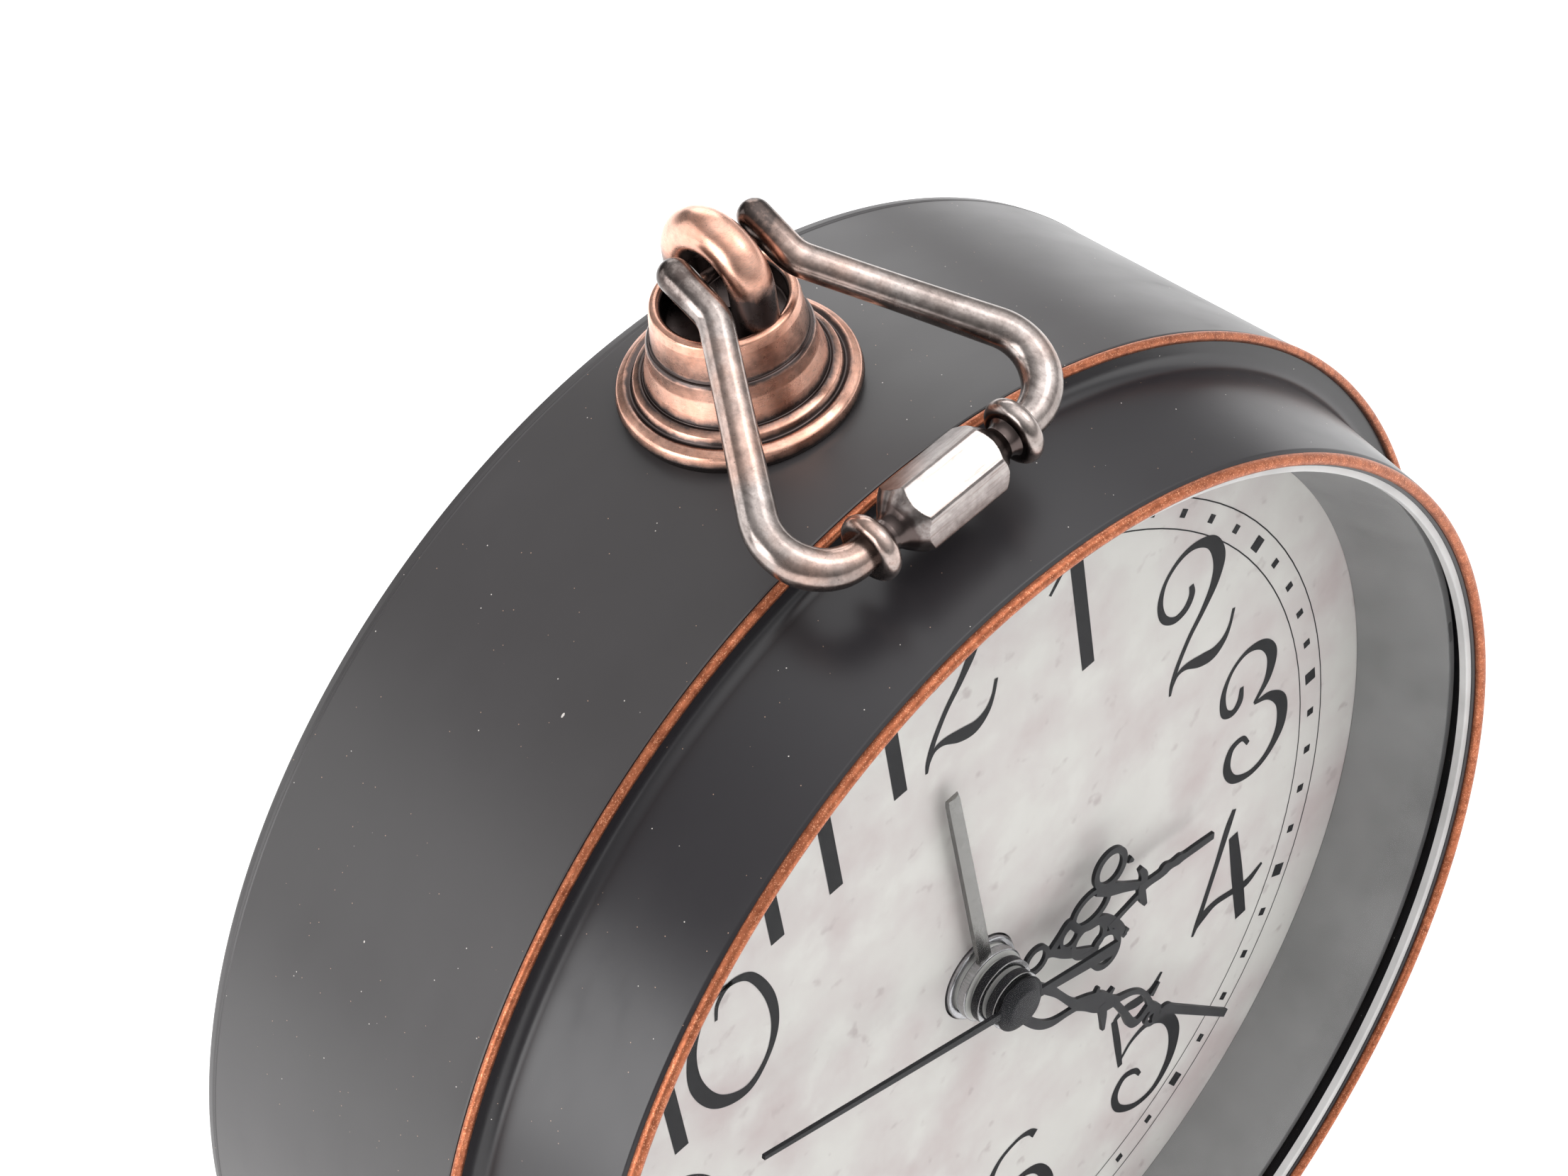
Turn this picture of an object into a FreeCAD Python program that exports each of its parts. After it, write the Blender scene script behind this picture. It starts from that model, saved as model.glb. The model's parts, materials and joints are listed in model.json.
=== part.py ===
"""A drum alarm clock: steel case, stepped bezel, quartz movement, and a swinging bail handle.

Every length is in millimetres. The clock stands upright on +Z and faces -Y. The shapes are drawn
in the clock's own axes, with the dial's axis as Y and the plane of the case's front edge at y = 0,
and each one is moved by TO_ROW when it is written, so that the origin is at the bottom centre.
"""
import FreeCAD
import Part
import math
import os

V = FreeCAD.Vector
X_AXIS = V(1, 0, 0)
Y_AXIS = V(0, 1, 0)
Z_AXIS = V(0, 0, 1)

# ---- Driving dimensions ----
CASE_R = 57.5
CASE_DEPTH = 27.6
SHEET = 0.8
BEZEL_REACH = 11.45
BEZEL_LIP_R = 52.1
BEZEL_SHEET = 0.6
STAND_Z = -64.0
KNOB_END_Y = 35.0

# ---- Case and bezel ----
OUTER_BEAD_R = 0.4
OUTER_BEAD_AT = CASE_R - 0.3
INNER_BEAD_R = 0.48
COVE_R = 2.4
COVE_FLOOR_Y = 0.1
CONE_FOOT_R = 54.3
REAR_LIP_R = 54.5
REAR_EDGE_R = 0.5
SEAM_Y = CASE_DEPTH - 1.0
SEAM_DEPTH = 0.15

# ---- Lens, dial surround and dial ----
LENS_R = 51.45
LENS_FRONT_Y = -10.3
LENS_BACK_Y = -9.0
DIAL_VIEW_R = 48.6
DIAL_R = 51.8
DIAL_FRONT_Y = -0.6
DIAL_BACK_Y = -0.1
CARRIER_R = 56.3
CARRIER_BACK_Y = 2.3
CLEAR = 0.1

# ---- Hands: each sits on its own tube, one inside the next ----
ALARM_TUBE = (3.3, 2.7)
HOUR_TUBE = (2.6, 1.9)
MINUTE_TUBE = (1.8, 1.0)
SECOND_ARBOR_R = 0.9
ALARM_HAND_Y = -1.7
HOUR_HAND_Y = -2.9
MINUTE_HAND_Y = -4.2
SECOND_HAND_Y = -5.2
HAND_SHEET = 0.35
ALARM_HAND_L = 24.3
HOUR_HAND_L = 27.0
MINUTE_HAND_L = 37.0
SECOND_HAND_L = 29.3
SECOND_TAIL_L = 12.0
# Clockwise from twelve, in degrees: 3:23 and 48 seconds, with the alarm set near twelve
ALARM_ANGLE = -2.0
HOUR_ANGLE = 101.5
MINUTE_ANGLE = 138.0
SECOND_ANGLE = 288.0

# ---- Movement ----
MOVEMENT_X = 28.0
MOVEMENT_LOW_Z = -20.0
MOVEMENT_HIGH_Z = 33.0
WALL = 1.2
FRONT_PLATE_Y = (2.4, 3.4)
ALARM_WHEEL_Y = (4.0, 5.0)
HOUR_WHEEL_Y = (5.6, 6.6)
CANNON_Y = (7.2, 9.6)
MINUTE_WHEEL_Y = (7.8, 9.0)
MID_PLATE_Y = (10.2, 11.0)
SECOND_WHEEL_Y = (11.8, 12.6)
THIRD_PINION_Y = (11.5, 13.2)
THIRD_WHEEL_Y = (13.4, 14.2)
MAGNET_Y = (14.9, 16.7)
STATOR_Y = (15.1, 16.5)
HOUSING_BACK_Y = 19.0
SHAFT_R = 1.5
PIVOT_R = 0.6
# teeth and modules
SET_MODULE = 0.4
CANNON_TEETH = 12
MINUTE_TEETH = 36
HOUR_MODULE = 0.32
HOUR_PINION_TEETH = 12
HOUR_TEETH = 48
ALARM_PINION_TEETH = 16
ALARM_TEETH = 40
SECOND_MODULE = 0.3
SECOND_TEETH = 48
THIRD_PINION_TEETH = 8
ROTOR_MODULE = 0.25
THIRD_TEETH = 50
ROTOR_TEETH = 10
# shaft places, as (x, z)
TIME_AT = (-(CANNON_TEETH + MINUTE_TEETH) * SET_MODULE / 2, 0.0)
ALARM_AT = ((ALARM_TEETH + ALARM_PINION_TEETH) * SET_MODULE / 2, 0.0)
THIRD_AT = (0.0, (SECOND_TEETH + THIRD_PINION_TEETH) * SECOND_MODULE / 2)
ROTOR_AT = (0.0, THIRD_AT[1] + (THIRD_TEETH + ROTOR_TEETH) * ROTOR_MODULE / 2)
BUZZER_AT = (-18.0, -11.0)
SWITCH_AT = (21.5, 14.0)
SWITCH_TRAVEL = 5.0

# ---- Rear ----
COVER_Y = (24.8, 26.7)
COVER_R = 56.3
POST_R = 3.0
POSTS_AT = [(48 * math.cos(math.radians(a)), 48 * math.sin(math.radians(a))) for a in (40, 140, 270)]
KNOB_R = 5.5
KNOB_Y = (27.6, KNOB_END_Y)
CELL_R = 7.15
CELL_L = 49.2
CELL_Z = -31.6
CELL_Y = 16.6
TRAY_X = 29.5
TRAY_Z = (-41.5, -21.7)
TRAY_Y = (8.2, COVER_Y[0])
DOOR_X = 28.0
DOOR_Z = (-40.0, -23.2)
DOOR_GAP = 0.3
DOOR_HALF = (COVER_Y[1] - COVER_Y[0]) / 2
DOOR_AXIS = (COVER_Y[0] + DOOR_HALF, DOOR_Z[0] + DOOR_GAP + DOOR_HALF)  # y, z
DOOR_PIN_R = 0.55
DOOR_PIN_DEEP = 1.2

# ---- Handle ----
HANDLE_Y = 16.0
EYE_WIRE_R = 1.72
EYE_BEND_R = 3.45
EYE_CENTRE_Z = 68.7
CUP_FLOOR_Z = 64.2
CUP_R = 4.6
RIM_Z = 66.2
BAIL_WIRE_R = 1.32
BAIL_SWELL_R = 1.5
BAIL_KINK = V(4.0, 12.1, 69.1)
BAIL_TIP = V(4.0, 15.8, 71.1)
STUB_Y = 15.3
STUB_Z = 69.6
STUB_R = 0.55
STUB_END_X = 0.35
BAR_Y = -5.0
BAR_Z = 59.35
BAR_CORNER_X = 16.3
BEAD_X = 7.3
BEAD_MAJOR_R = 1.85
BEAD_MINOR_R = 0.8
BARREL_FLAT_HALF = 3.6
BARREL_HALF = 4.85
BARREL_END_R = 1.9
BARREL_CORNER_R = 3.02

# ---- Feet ----
FOOT_ANGLE = 30.0
FOOT_YS = (6.3, 21.3)
TIP_R = 5.2
TIP_DROP = 2.2

# The row's origin: bottom centre of the whole clock at rest
FRONT_Y = -(BEZEL_REACH + INNER_BEAD_R)
TO_ROW = V(0, -(FRONT_Y + KNOB_END_Y) / 2, -STAND_Z)


def tube(outer, inner, y0, y1, x=0.0, z=0.0):
    """A ring or pipe along Y."""
    return rod(outer, y0, y1, x, z).cut(rod(inner, y0 - 1, y1 + 1, x, z))


def rod(radius, y0, y1, x=0.0, z=0.0):
    """A cylinder along Y."""
    return Part.makeCylinder(radius, y1 - y0, V(x, y0, z), Y_AXIS)


def box(x0, x1, y0, y1, z0, z1):
    return Part.makeBox(x1 - x0, y1 - y0, z1 - z0, V(x0, y0, z0))


def loop_wire(steps):
    """A closed wire from points, where a tuple (through, end) is an arc and a plain point is a line."""
    edges = []
    here = steps[0]
    for step in steps[1:] + [steps[0]]:
        if isinstance(step, tuple):
            through, end = step
            edges.append(Part.Arc(here, through, end).toShape())
            here = end
        elif here.distanceToPoint(step) > 1e-6:
            edges.append(Part.LineSegment(here, step).toShape())
            here = step
    return Part.Wire(edges)


def turn_about_y(profile):
    """Revolves a profile, given as (r, y) points and arcs, about the dial's axis."""
    steps = [as_xy(p) for p in profile]
    return Part.Face(loop_wire(steps)).revolve(V(0, 0, 0), Y_AXIS, 360)


def as_xy(p):
    if len(p) == 4:
        return (V(p[0], p[1], 0), V(p[2], p[3], 0))
    return V(p[0], p[1], 0)


def turn_about_z(profile, x=0.0, y=0.0):
    """Revolves a profile, given as (r, z) points and arcs, about a vertical line at x, y."""
    steps = []
    for p in profile:
        if len(p) == 4:
            steps.append((V(x + p[0], y, p[1]), V(x + p[2], y, p[3])))
        else:
            steps.append(V(x + p[0], y, p[1]))
    return Part.Face(loop_wire(steps)).revolve(V(x, y, 0), Z_AXIS, 360)


def gear(module, teeth, y0, y1, at, phase):
    """A spur gear along Y with simple straight-sided teeth. phase is the first tooth's direction in degrees."""
    pitch = module * teeth / 2
    root, tip = pitch - 1.15 * module, pitch + 0.8 * module
    half = math.pi / teeth / 2 * 0.84
    corners = []
    for i in range(teeth):
        middle = math.radians(phase) + 2 * math.pi * i / teeth
        for radius, spread in ((root, -1.45), (tip, -0.5), (tip, 0.5), (root, 1.45)):
            angle = middle + half * spread
            corners.append(V(at[0] + radius * math.cos(angle), y0, at[1] + radius * math.sin(angle)))
    corners.append(corners[0])
    return Part.Face(Part.makePolygon(corners)).extrude(V(0, y1 - y0, 0))


def mesh_phase(teeth, toward_degrees):
    """The phase that puts a gap, not a tooth, on the line to the other gear."""
    return toward_degrees + 180.0 / teeth


def rounded_path(points, radii):
    """Straight runs joined by tangent arcs, as a wire. radii has one number for each inner point."""
    edges = []
    here = points[0]
    for before, corner, after, radius in zip(points, points[1:], points[2:], radii):
        into = (corner - before).normalize()
        out = (after - corner).normalize()
        turn = into.getAngle(out)
        back = radius * math.tan(turn / 2)
        start, end = corner - into * back, corner + out * back
        inward = (out - into).normalize()
        centre = corner + inward * (radius / math.cos(turn / 2))
        middle = centre - inward * radius
        edges.append(Part.LineSegment(here, start).toShape())
        edges.append(Part.Arc(start, middle, end).toShape())
        here = end
    edges.append(Part.LineSegment(here, points[-1]).toShape())
    return Part.Wire(edges)


def wire_along(path, radius):
    """A round wire swept along a path."""
    start = path.Edges[0].valueAt(path.Edges[0].FirstParameter)
    heading = path.Edges[0].tangentAt(path.Edges[0].FirstParameter)
    section = Part.Wire(Part.Circle(start, heading, radius).toShape())
    return path.makePipeShell([section], True, True)


def fused(shapes):
    return shapes[0].multiFuse(shapes[1:]).removeSplitter() if len(shapes) > 1 else shapes[0]


def turned_to(shape, degrees):
    """Turns a hand drawn pointing up to its place, clockwise as seen from the front."""
    made = shape.copy()
    made.rotate(V(0, 0, 0), Y_AXIS, degrees)
    return made


def save(name, shape):
    made = shape.copy()
    made.translate(TO_ROW)
    made.exportStep("parts/%s.step" % name)


# ---- Case, bezel, glass and dial ----
def case_shell():
    inner = CASE_R - SHEET
    front = OUTER_BEAD_R + CLEAR
    back = CASE_DEPTH
    edge = REAR_EDGE_R
    bend = math.sqrt(0.5)
    outer_mid = (CASE_R - edge * (1 - bend), back - edge * (1 - bend))
    shell = turn_about_y([
        (CASE_R, front), (CASE_R, SEAM_Y - 0.2), (CASE_R - SEAM_DEPTH, SEAM_Y), (CASE_R, SEAM_Y + 0.2),
        (CASE_R, back - edge),
        (outer_mid[0], outer_mid[1], CASE_R - edge, back),
        (REAR_LIP_R, back), (REAR_LIP_R, back - SHEET), (inner, back - SHEET), (inner, front)])
    holes = [Part.makeCylinder(SHAFT_R + CLEAR, 10, V(0, HANDLE_Y, CASE_R - 5), Z_AXIS)]
    for side in (-1, 1):
        for y in FOOT_YS:
            holes.append(Part.makeCylinder(1.4, 10, foot_point(side, y, CASE_R - 5), foot_direction(side)))
    return shell.cut(Part.makeCompound(holes))


def front_bezel():
    """The pressed ring in front of the case: a flat flange, a cove and a long cone up to the glass."""
    lip_y = -BEZEL_REACH
    foot = (CONE_FOOT_R, COVE_FLOOR_Y - COVE_R)
    top = (BEZEL_LIP_R + 0.7, lip_y + 0.6)
    cove_start = (CONE_FOOT_R + COVE_R, COVE_FLOOR_Y)
    bend = math.sqrt(0.5)
    cove_mid = (cove_start[0] - COVE_R * bend, foot[1] + COVE_R * bend)
    flange_back = COVE_FLOOR_Y + BEZEL_SHEET
    sheet = turn_about_y([
        cove_start, (cove_mid[0], cove_mid[1], foot[0], foot[1]), top,
        (BEZEL_LIP_R, lip_y + 0.2), (BEZEL_LIP_R - 0.9, lip_y + 0.2), (BEZEL_LIP_R - 0.9, lip_y + 0.8),
        (BEZEL_LIP_R - 0.3, lip_y + 0.8), (top[0] - BEZEL_SHEET, lip_y + 1.3), (foot[0] - BEZEL_SHEET, foot[1]),
        (foot[0] - BEZEL_SHEET, flange_back), (cove_start[0], flange_back)])
    return sheet.cut(inner_ring()).cut(outer_ring())


def outer_ring():
    """The rolled copper-coloured ring round the front edge of the case."""
    return Part.makeTorus(OUTER_BEAD_AT, OUTER_BEAD_R, V(0, 0, 0), Y_AXIS)


def inner_ring():
    """The copper-coloured bead round the glass."""
    return Part.makeTorus(BEZEL_LIP_R, INNER_BEAD_R, V(0, -BEZEL_REACH, 0), Y_AXIS)


def lens():
    return rod(LENS_R, LENS_FRONT_Y, LENS_BACK_Y)


def lens_gasket():
    return tube(LENS_R, 50.7, LENS_FRONT_Y - 0.35, LENS_FRONT_Y)


def dial_surround():
    """The plain ring that fills the depth between the dial and the glass."""
    return turn_about_y([
        (DIAL_VIEW_R, DIAL_FRONT_Y), (51.8, DIAL_FRONT_Y), (52.4, -3.0), (51.6, LENS_BACK_Y),
        (50.9, LENS_BACK_Y)])


def dial():
    return tube(DIAL_R, 4.1, DIAL_FRONT_Y, DIAL_BACK_Y)


def center_washer():
    return tube(4.05, 3.4, DIAL_FRONT_Y - 0.35, DIAL_BACK_Y)


def dial_carrier():
    """The moulded plate behind the dial, with the three posts that the rear cover is screwed to."""
    plate = fused([rod(52.3, DIAL_BACK_Y, 1.1), rod(CARRIER_R, 1.1, CARRIER_BACK_Y)])
    posts = [rod(POST_R, CARRIER_BACK_Y - 0.5, COVER_Y[0], x, z) for x, z in POSTS_AT]
    holes = [rod(1.1, COVER_Y[0] - 9, COVER_Y[0] + 1, x, z) for x, z in POSTS_AT]
    holes.append(rod(4.1, -2, 4))
    holes += [rod(0.9, 0.6, 4, x, 6.0) for x in (-31.0, 31.0)]
    return fused([plate] + posts).cut(Part.makeCompound(holes))


# ---- Hands ----
def hand_blade(y, length, width, tip_width, start):
    """A flat tapered blade that points up."""
    corners = [V(-width / 2, y, start), V(-tip_width / 2, y, length), V(tip_width / 2, y, length),
               V(width / 2, y, start)]
    return Part.Face(Part.makePolygon(corners + [corners[0]])).extrude(V(0, HAND_SHEET, 0))


def alarm_hand():
    y = ALARM_HAND_Y
    boss = tube(3.8, ALARM_TUBE[0] - 0.02, y - 0.4, y + 0.45)
    return turned_to(fused([boss, hand_blade(y, ALARM_HAND_L, 1.7, 1.5, 3.4)]), ALARM_ANGLE)


def hour_hand():
    y = HOUR_HAND_Y
    boss = tube(3.4, HOUR_TUBE[0] - 0.02, y - 0.2, y + HAND_SHEET + 0.1)
    return turned_to(fused([boss, hand_blade(y, HOUR_HAND_L, 5.2, 0.8, 2.8)]), HOUR_ANGLE)


def minute_hand():
    y = MINUTE_HAND_Y
    boss = tube(2.75, MINUTE_TUBE[0] - 0.02, y - 0.1, y + HAND_SHEET + 0.2)
    return turned_to(fused([boss, hand_blade(y, MINUTE_HAND_L, 4.6, 0.8, 2.2)]), MINUTE_ANGLE)


def second_hand():
    y = SECOND_HAND_Y
    cap = turn_about_y([(0, y - 0.75), (2.0, y - 0.55), (2.55, y - 0.1), (2.55, y + 0.15), (0, y + 0.15)])
    needle = hand_blade(y - 0.1, SECOND_HAND_L, 0.7, 0.45, -1.0)
    tail = hand_blade(y - 0.1, SECOND_TAIL_L, 0.9, 1.3, -1.0)
    tail.rotate(V(0, 0, 0), Y_AXIS, 180)
    pipe = tube(0.95, SECOND_ARBOR_R - 0.05, y + 0.1, y + 0.5)
    return turned_to(fused([cap, needle, tail, pipe]), SECOND_ANGLE)


# ---- Motion work: the wheels that carry the hands ----
def alarm_wheel():
    wheel = gear(SET_MODULE, ALARM_TEETH, *ALARM_WHEEL_Y, (0, 0), 0)
    pipe = rod(ALARM_TUBE[0], ALARM_HAND_Y - 0.45, ALARM_WHEEL_Y[1])
    return wheel.fuse(pipe).cut(rod(ALARM_TUBE[1], -9, 9))


def hour_wheel():
    wheel = gear(HOUR_MODULE, HOUR_TEETH, *HOUR_WHEEL_Y, (0, 0), 180)
    pipe = rod(HOUR_TUBE[0], HOUR_HAND_Y - 0.4, HOUR_WHEEL_Y[1])
    return wheel.fuse(pipe).cut(rod(HOUR_TUBE[1], -9, 9))


def minute_cannon():
    pinion = gear(SET_MODULE, CANNON_TEETH, *CANNON_Y, (0, 0), 180)
    pipe = rod(MINUTE_TUBE[0], MINUTE_HAND_Y - 0.2, CANNON_Y[0] + 0.5)
    return pinion.fuse(pipe).cut(rod(MINUTE_TUBE[1], -9, 11))


def minute_wheel():
    """The intermediate wheel, on the shaft that the time knob turns."""
    wheel = gear(SET_MODULE, MINUTE_TEETH, *MINUTE_WHEEL_Y, TIME_AT, mesh_phase(MINUTE_TEETH, 0))
    pinion = gear(HOUR_MODULE, HOUR_PINION_TEETH, HOUR_WHEEL_Y[0] - 0.2, MINUTE_WHEEL_Y[0] + 0.2, TIME_AT,
                  mesh_phase(HOUR_PINION_TEETH, 0))
    shaft = rod(SHAFT_R, MINUTE_WHEEL_Y[1] - 0.2, KNOB_Y[0] + 4, *TIME_AT)
    pivot = rod(PIVOT_R, FRONT_PLATE_Y[1] + 0.1, HOUR_WHEEL_Y[0], *TIME_AT)
    return fused([wheel, pinion, shaft, pivot])


def alarm_pinion():
    """The pinion and shaft that the alarm knob turns."""
    pinion = gear(SET_MODULE, ALARM_PINION_TEETH, ALARM_WHEEL_Y[0] - 0.2, ALARM_WHEEL_Y[1] + 0.2, ALARM_AT,
                  mesh_phase(ALARM_PINION_TEETH, 180))
    shaft = rod(SHAFT_R, ALARM_WHEEL_Y[1], KNOB_Y[0] + 4, *ALARM_AT)
    return fused([pinion, shaft])


# ---- Going train: rotor, third wheel and second wheel ----
def second_wheel():
    wheel = gear(SECOND_MODULE, SECOND_TEETH, *SECOND_WHEEL_Y, (0, 0), 90)
    arbor = rod(SECOND_ARBOR_R, SECOND_HAND_Y + 0.16, HOUSING_BACK_Y - WALL - 0.3)
    return wheel.fuse(arbor)


def third_wheel():
    pinion = gear(SECOND_MODULE, THIRD_PINION_TEETH, THIRD_PINION_Y[0], THIRD_WHEEL_Y[0] + 0.2, THIRD_AT,
                  mesh_phase(THIRD_PINION_TEETH, -90))
    wheel = gear(ROTOR_MODULE, THIRD_TEETH, *THIRD_WHEEL_Y, THIRD_AT, 90)
    pivot = rod(PIVOT_R, MID_PLATE_Y[1] + 0.1, HOUSING_BACK_Y - WALL - 0.3, *THIRD_AT)
    return fused([pinion, wheel, pivot])


def rotor():
    pinion = gear(ROTOR_MODULE, ROTOR_TEETH, THIRD_WHEEL_Y[0] - 0.2, MAGNET_Y[0] + 0.1, ROTOR_AT,
                  mesh_phase(ROTOR_TEETH, -90))
    magnet = rod(3.0, *MAGNET_Y, *ROTOR_AT)
    pivot = rod(0.5, MID_PLATE_Y[1] + 0.1, HOUSING_BACK_Y - WALL - 0.3, *ROTOR_AT)
    return fused([pinion, magnet, pivot])


def stator():
    """Two soft iron limbs round the rotor, and the core that the coil is wound on."""
    plate = box(-14, 14, *STATOR_Y, 11.5, 20.3)
    limbs = [box(x, x + 4, *STATOR_Y, 20.0, 29.0) for x in (-14, 10)]
    core = box(-12, 12, STATOR_Y[0] - 1.4, STATOR_Y[0], 26.2, 27.8)
    return fused([plate] + limbs + [core]).cut(rod(3.5, 10, 20, *ROTOR_AT))


def coil():
    middle_y = STATOR_Y[0] - 0.7
    winding = Part.makeCylinder(2.3, 17, V(-8.5, middle_y, 27), X_AXIS)
    cheeks = [Part.makeCylinder(2.7, 0.8, V(x, middle_y, 27), X_AXIS) for x in (-9.3, 8.5)]
    return fused([winding] + cheeks).cut(box(-11, 11, STATOR_Y[0] - 1.45, STATOR_Y[0] + 0.05, 26.15, 27.85))


def circuit_board():
    """The printed board beside the train, with its chip under a blob of resin."""
    board = box(15.6, 26.4, MID_PLATE_Y[1] + 0.1, MID_PLATE_Y[1] + 1.1, -18, 30.5)
    blob = Part.makeSphere(4.0, V(21, MID_PLATE_Y[1] - 1.6, -6))
    dome = blob.common(box(15.6, 26.4, MID_PLATE_Y[1] + 1.0, 20, -18, 30))
    return board.fuse(dome)


def quartz_crystal():
    y = MID_PLATE_Y[1] + 2.2
    can = Part.makeCylinder(1.05, 6.0, V(20, y, 1), Z_AXIS)
    leads = [rod(0.18, MID_PLATE_Y[1] + 0.5, y, 20 + dx, 1.4) for dx in (-0.5, 0.5)]
    return fused([can] + leads)


def buzzer():
    """The sounder: a small can with a hole in its back."""
    can = rod(7.0, MID_PLATE_Y[1], 16.4, *BUZZER_AT)
    hollow = rod(6.2, MID_PLATE_Y[1] + 0.8, 15.6, *BUZZER_AT)
    return can.cut(hollow).cut(rod(1.3, 15, 18, *BUZZER_AT))


def movement_front_plate():
    plate = box(-MOVEMENT_X, MOVEMENT_X, *FRONT_PLATE_Y, MOVEMENT_LOW_Z, MOVEMENT_HIGH_Z)
    ears = [box(x, x + 8, *FRONT_PLATE_Y, 2.0, 10.0) for x in (-34.0, 26.0)]
    holes = [rod(ALARM_TUBE[0] + CLEAR, 0, 6), rod(PIVOT_R + CLEAR, 0, 6, *TIME_AT)]
    holes += [rod(1.1, 0, 6, x, 6.0) for x in (-31.0, 31.0)]
    return fused([plate] + ears).cut(Part.makeCompound(holes))


def movement_mid_plate():
    inside = MOVEMENT_X - WALL - CLEAR
    plate = box(-inside, inside, *MID_PLATE_Y, MOVEMENT_LOW_Z + WALL + CLEAR, MOVEMENT_HIGH_Z - WALL - CLEAR)
    posts = [rod(1.2, MID_PLATE_Y[1] - 0.1, STATOR_Y[0], x, 13.5) for x in (-12.5, 12.5)]
    holes = [rod(SECOND_ARBOR_R + CLEAR, 9, 12)]
    holes += [rod(SHAFT_R + CLEAR, 9, 12, *at) for at in (TIME_AT, ALARM_AT)]
    return fused([plate] + posts).cut(Part.makeCompound(holes))


def movement_housing():
    """The back half of the movement's case, open at the front."""
    outer = box(-MOVEMENT_X, MOVEMENT_X, FRONT_PLATE_Y[1], HOUSING_BACK_Y, MOVEMENT_LOW_Z, MOVEMENT_HIGH_Z)
    inner = box(-MOVEMENT_X + WALL, MOVEMENT_X - WALL, 0, HOUSING_BACK_Y - WALL, MOVEMENT_LOW_Z + WALL,
                MOVEMENT_HIGH_Z - WALL)
    holes = [rod(SHAFT_R + CLEAR, 17, 20, *at) for at in (TIME_AT, ALARM_AT)]
    holes += sound_holes(17, 20)
    holes.append(switch_slot(17, 20))
    return outer.cut(inner).cut(Part.makeCompound(holes))


def sound_holes(y0, y1):
    """A ring of small holes in front of the buzzer, with one in its middle."""
    spots = [(0.0, 0.0)] + [(3.4 * math.cos(math.radians(a)), 3.4 * math.sin(math.radians(a)))
                            for a in range(0, 360, 60)]
    return [rod(0.8, y0, y1, BUZZER_AT[0] + dx, BUZZER_AT[1] + dz) for dx, dz in spots]


def switch_slot(y0, y1):
    x, z = SWITCH_AT
    return box(x - 1.3, x + 1.3, y0, y1, z - 1.6, z + SWITCH_TRAVEL + 1.6)


def alarm_switch():
    """The slider that turns the alarm on, with its stem down to the board."""
    x, z = SWITCH_AT
    stem = box(x - 1.0, x + 1.0, MID_PLATE_Y[1] + 1.4, COVER_Y[1] + 0.4, z - 1.2, z + 1.2)
    cap = box(x - 2.6, x + 2.6, COVER_Y[1] + 0.3, COVER_Y[1] + 2.0, z - 2.4, z + 2.4)
    ribs = [box(x - 2.6, x + 2.6, COVER_Y[1] + 1.9, COVER_Y[1] + 2.5, z + dz - 0.35, z + dz + 0.35)
            for dz in (-1.6, 0.0, 1.6)]
    return fused([stem, cap] + ribs)


def movement_screws():
    """Two screws that hold the movement to the dial carrier."""
    made = []
    for x in (-31.0, 31.0):
        head = rod(1.8, FRONT_PLATE_Y[1], FRONT_PLATE_Y[1] + 1.2, x, 6.0)
        head = head.cut(box(x - 2, x + 2, FRONT_PLATE_Y[1] + 0.7, FRONT_PLATE_Y[1] + 2, 5.75, 6.25))
        made.append(head.fuse(rod(0.9, 0.65, FRONT_PLATE_Y[1] + 0.1, x, 6.0)))
    return Part.makeCompound(made)


# ---- Rear cover, knobs and battery ----
def door_bar(radius, reach):
    """A round bar on the battery door's axis, as far to each side."""
    return Part.makeCylinder(radius, 2 * reach, V(-reach, *DOOR_AXIS), X_AXIS)


def rear_cover():
    """The moulded back, with the battery opening, the knobs' holes, the switch's slot and sound holes."""
    plate = rod(COVER_R, *COVER_Y)
    rib = tube(53.4, 52.2, COVER_Y[1] - 0.2, COVER_Y[1] + 0.5)
    collars = [tube(7.4, 6.4, COVER_Y[1] - 0.2, COVER_Y[1] + 0.6, *at) for at in (TIME_AT, ALARM_AT)]
    body = fused([plate, rib] + collars)
    holes = [rod(SHAFT_R + 0.15, 20, 30, *at) for at in (TIME_AT, ALARM_AT)]
    holes += [rod(1.5, 20, 30, x, z) for x, z in POSTS_AT]
    holes += [rod(2.5, COVER_Y[1] - 1.0, 30, x, z) for x, z in POSTS_AT]
    holes += sound_holes(20, 30)
    holes.append(switch_slot(20, 30))
    holes.append(box(-DOOR_X, DOOR_X, 20, 30, *DOOR_Z))
    holes.append(door_bar(DOOR_PIN_R + 0.15, DOOR_X + DOOR_PIN_DEEP + 0.2))
    lip_seat = tube(60, COVER_R - 1.7, CASE_DEPTH - SHEET - 0.05, 30)
    return body.cut(Part.makeCompound(holes)).cut(lip_seat)


def rear_cover_screws():
    made = []
    for x, z in POSTS_AT:
        head_y = COVER_Y[1] - 1.0
        head = rod(2.3, head_y, COVER_Y[1] - 0.1, x, z)
        slots = [box(x - 1.3, x + 1.3, head_y + 0.35, 30, z - 0.3, z + 0.3),
                 box(x - 0.3, x + 0.3, head_y + 0.35, 30, z - 1.3, z + 1.3)]
        made.append(head.cut(Part.makeCompound(slots)).fuse(rod(1.1, COVER_Y[0] - 8, head_y + 0.1, x, z)))
    return Part.makeCompound(made)


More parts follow.
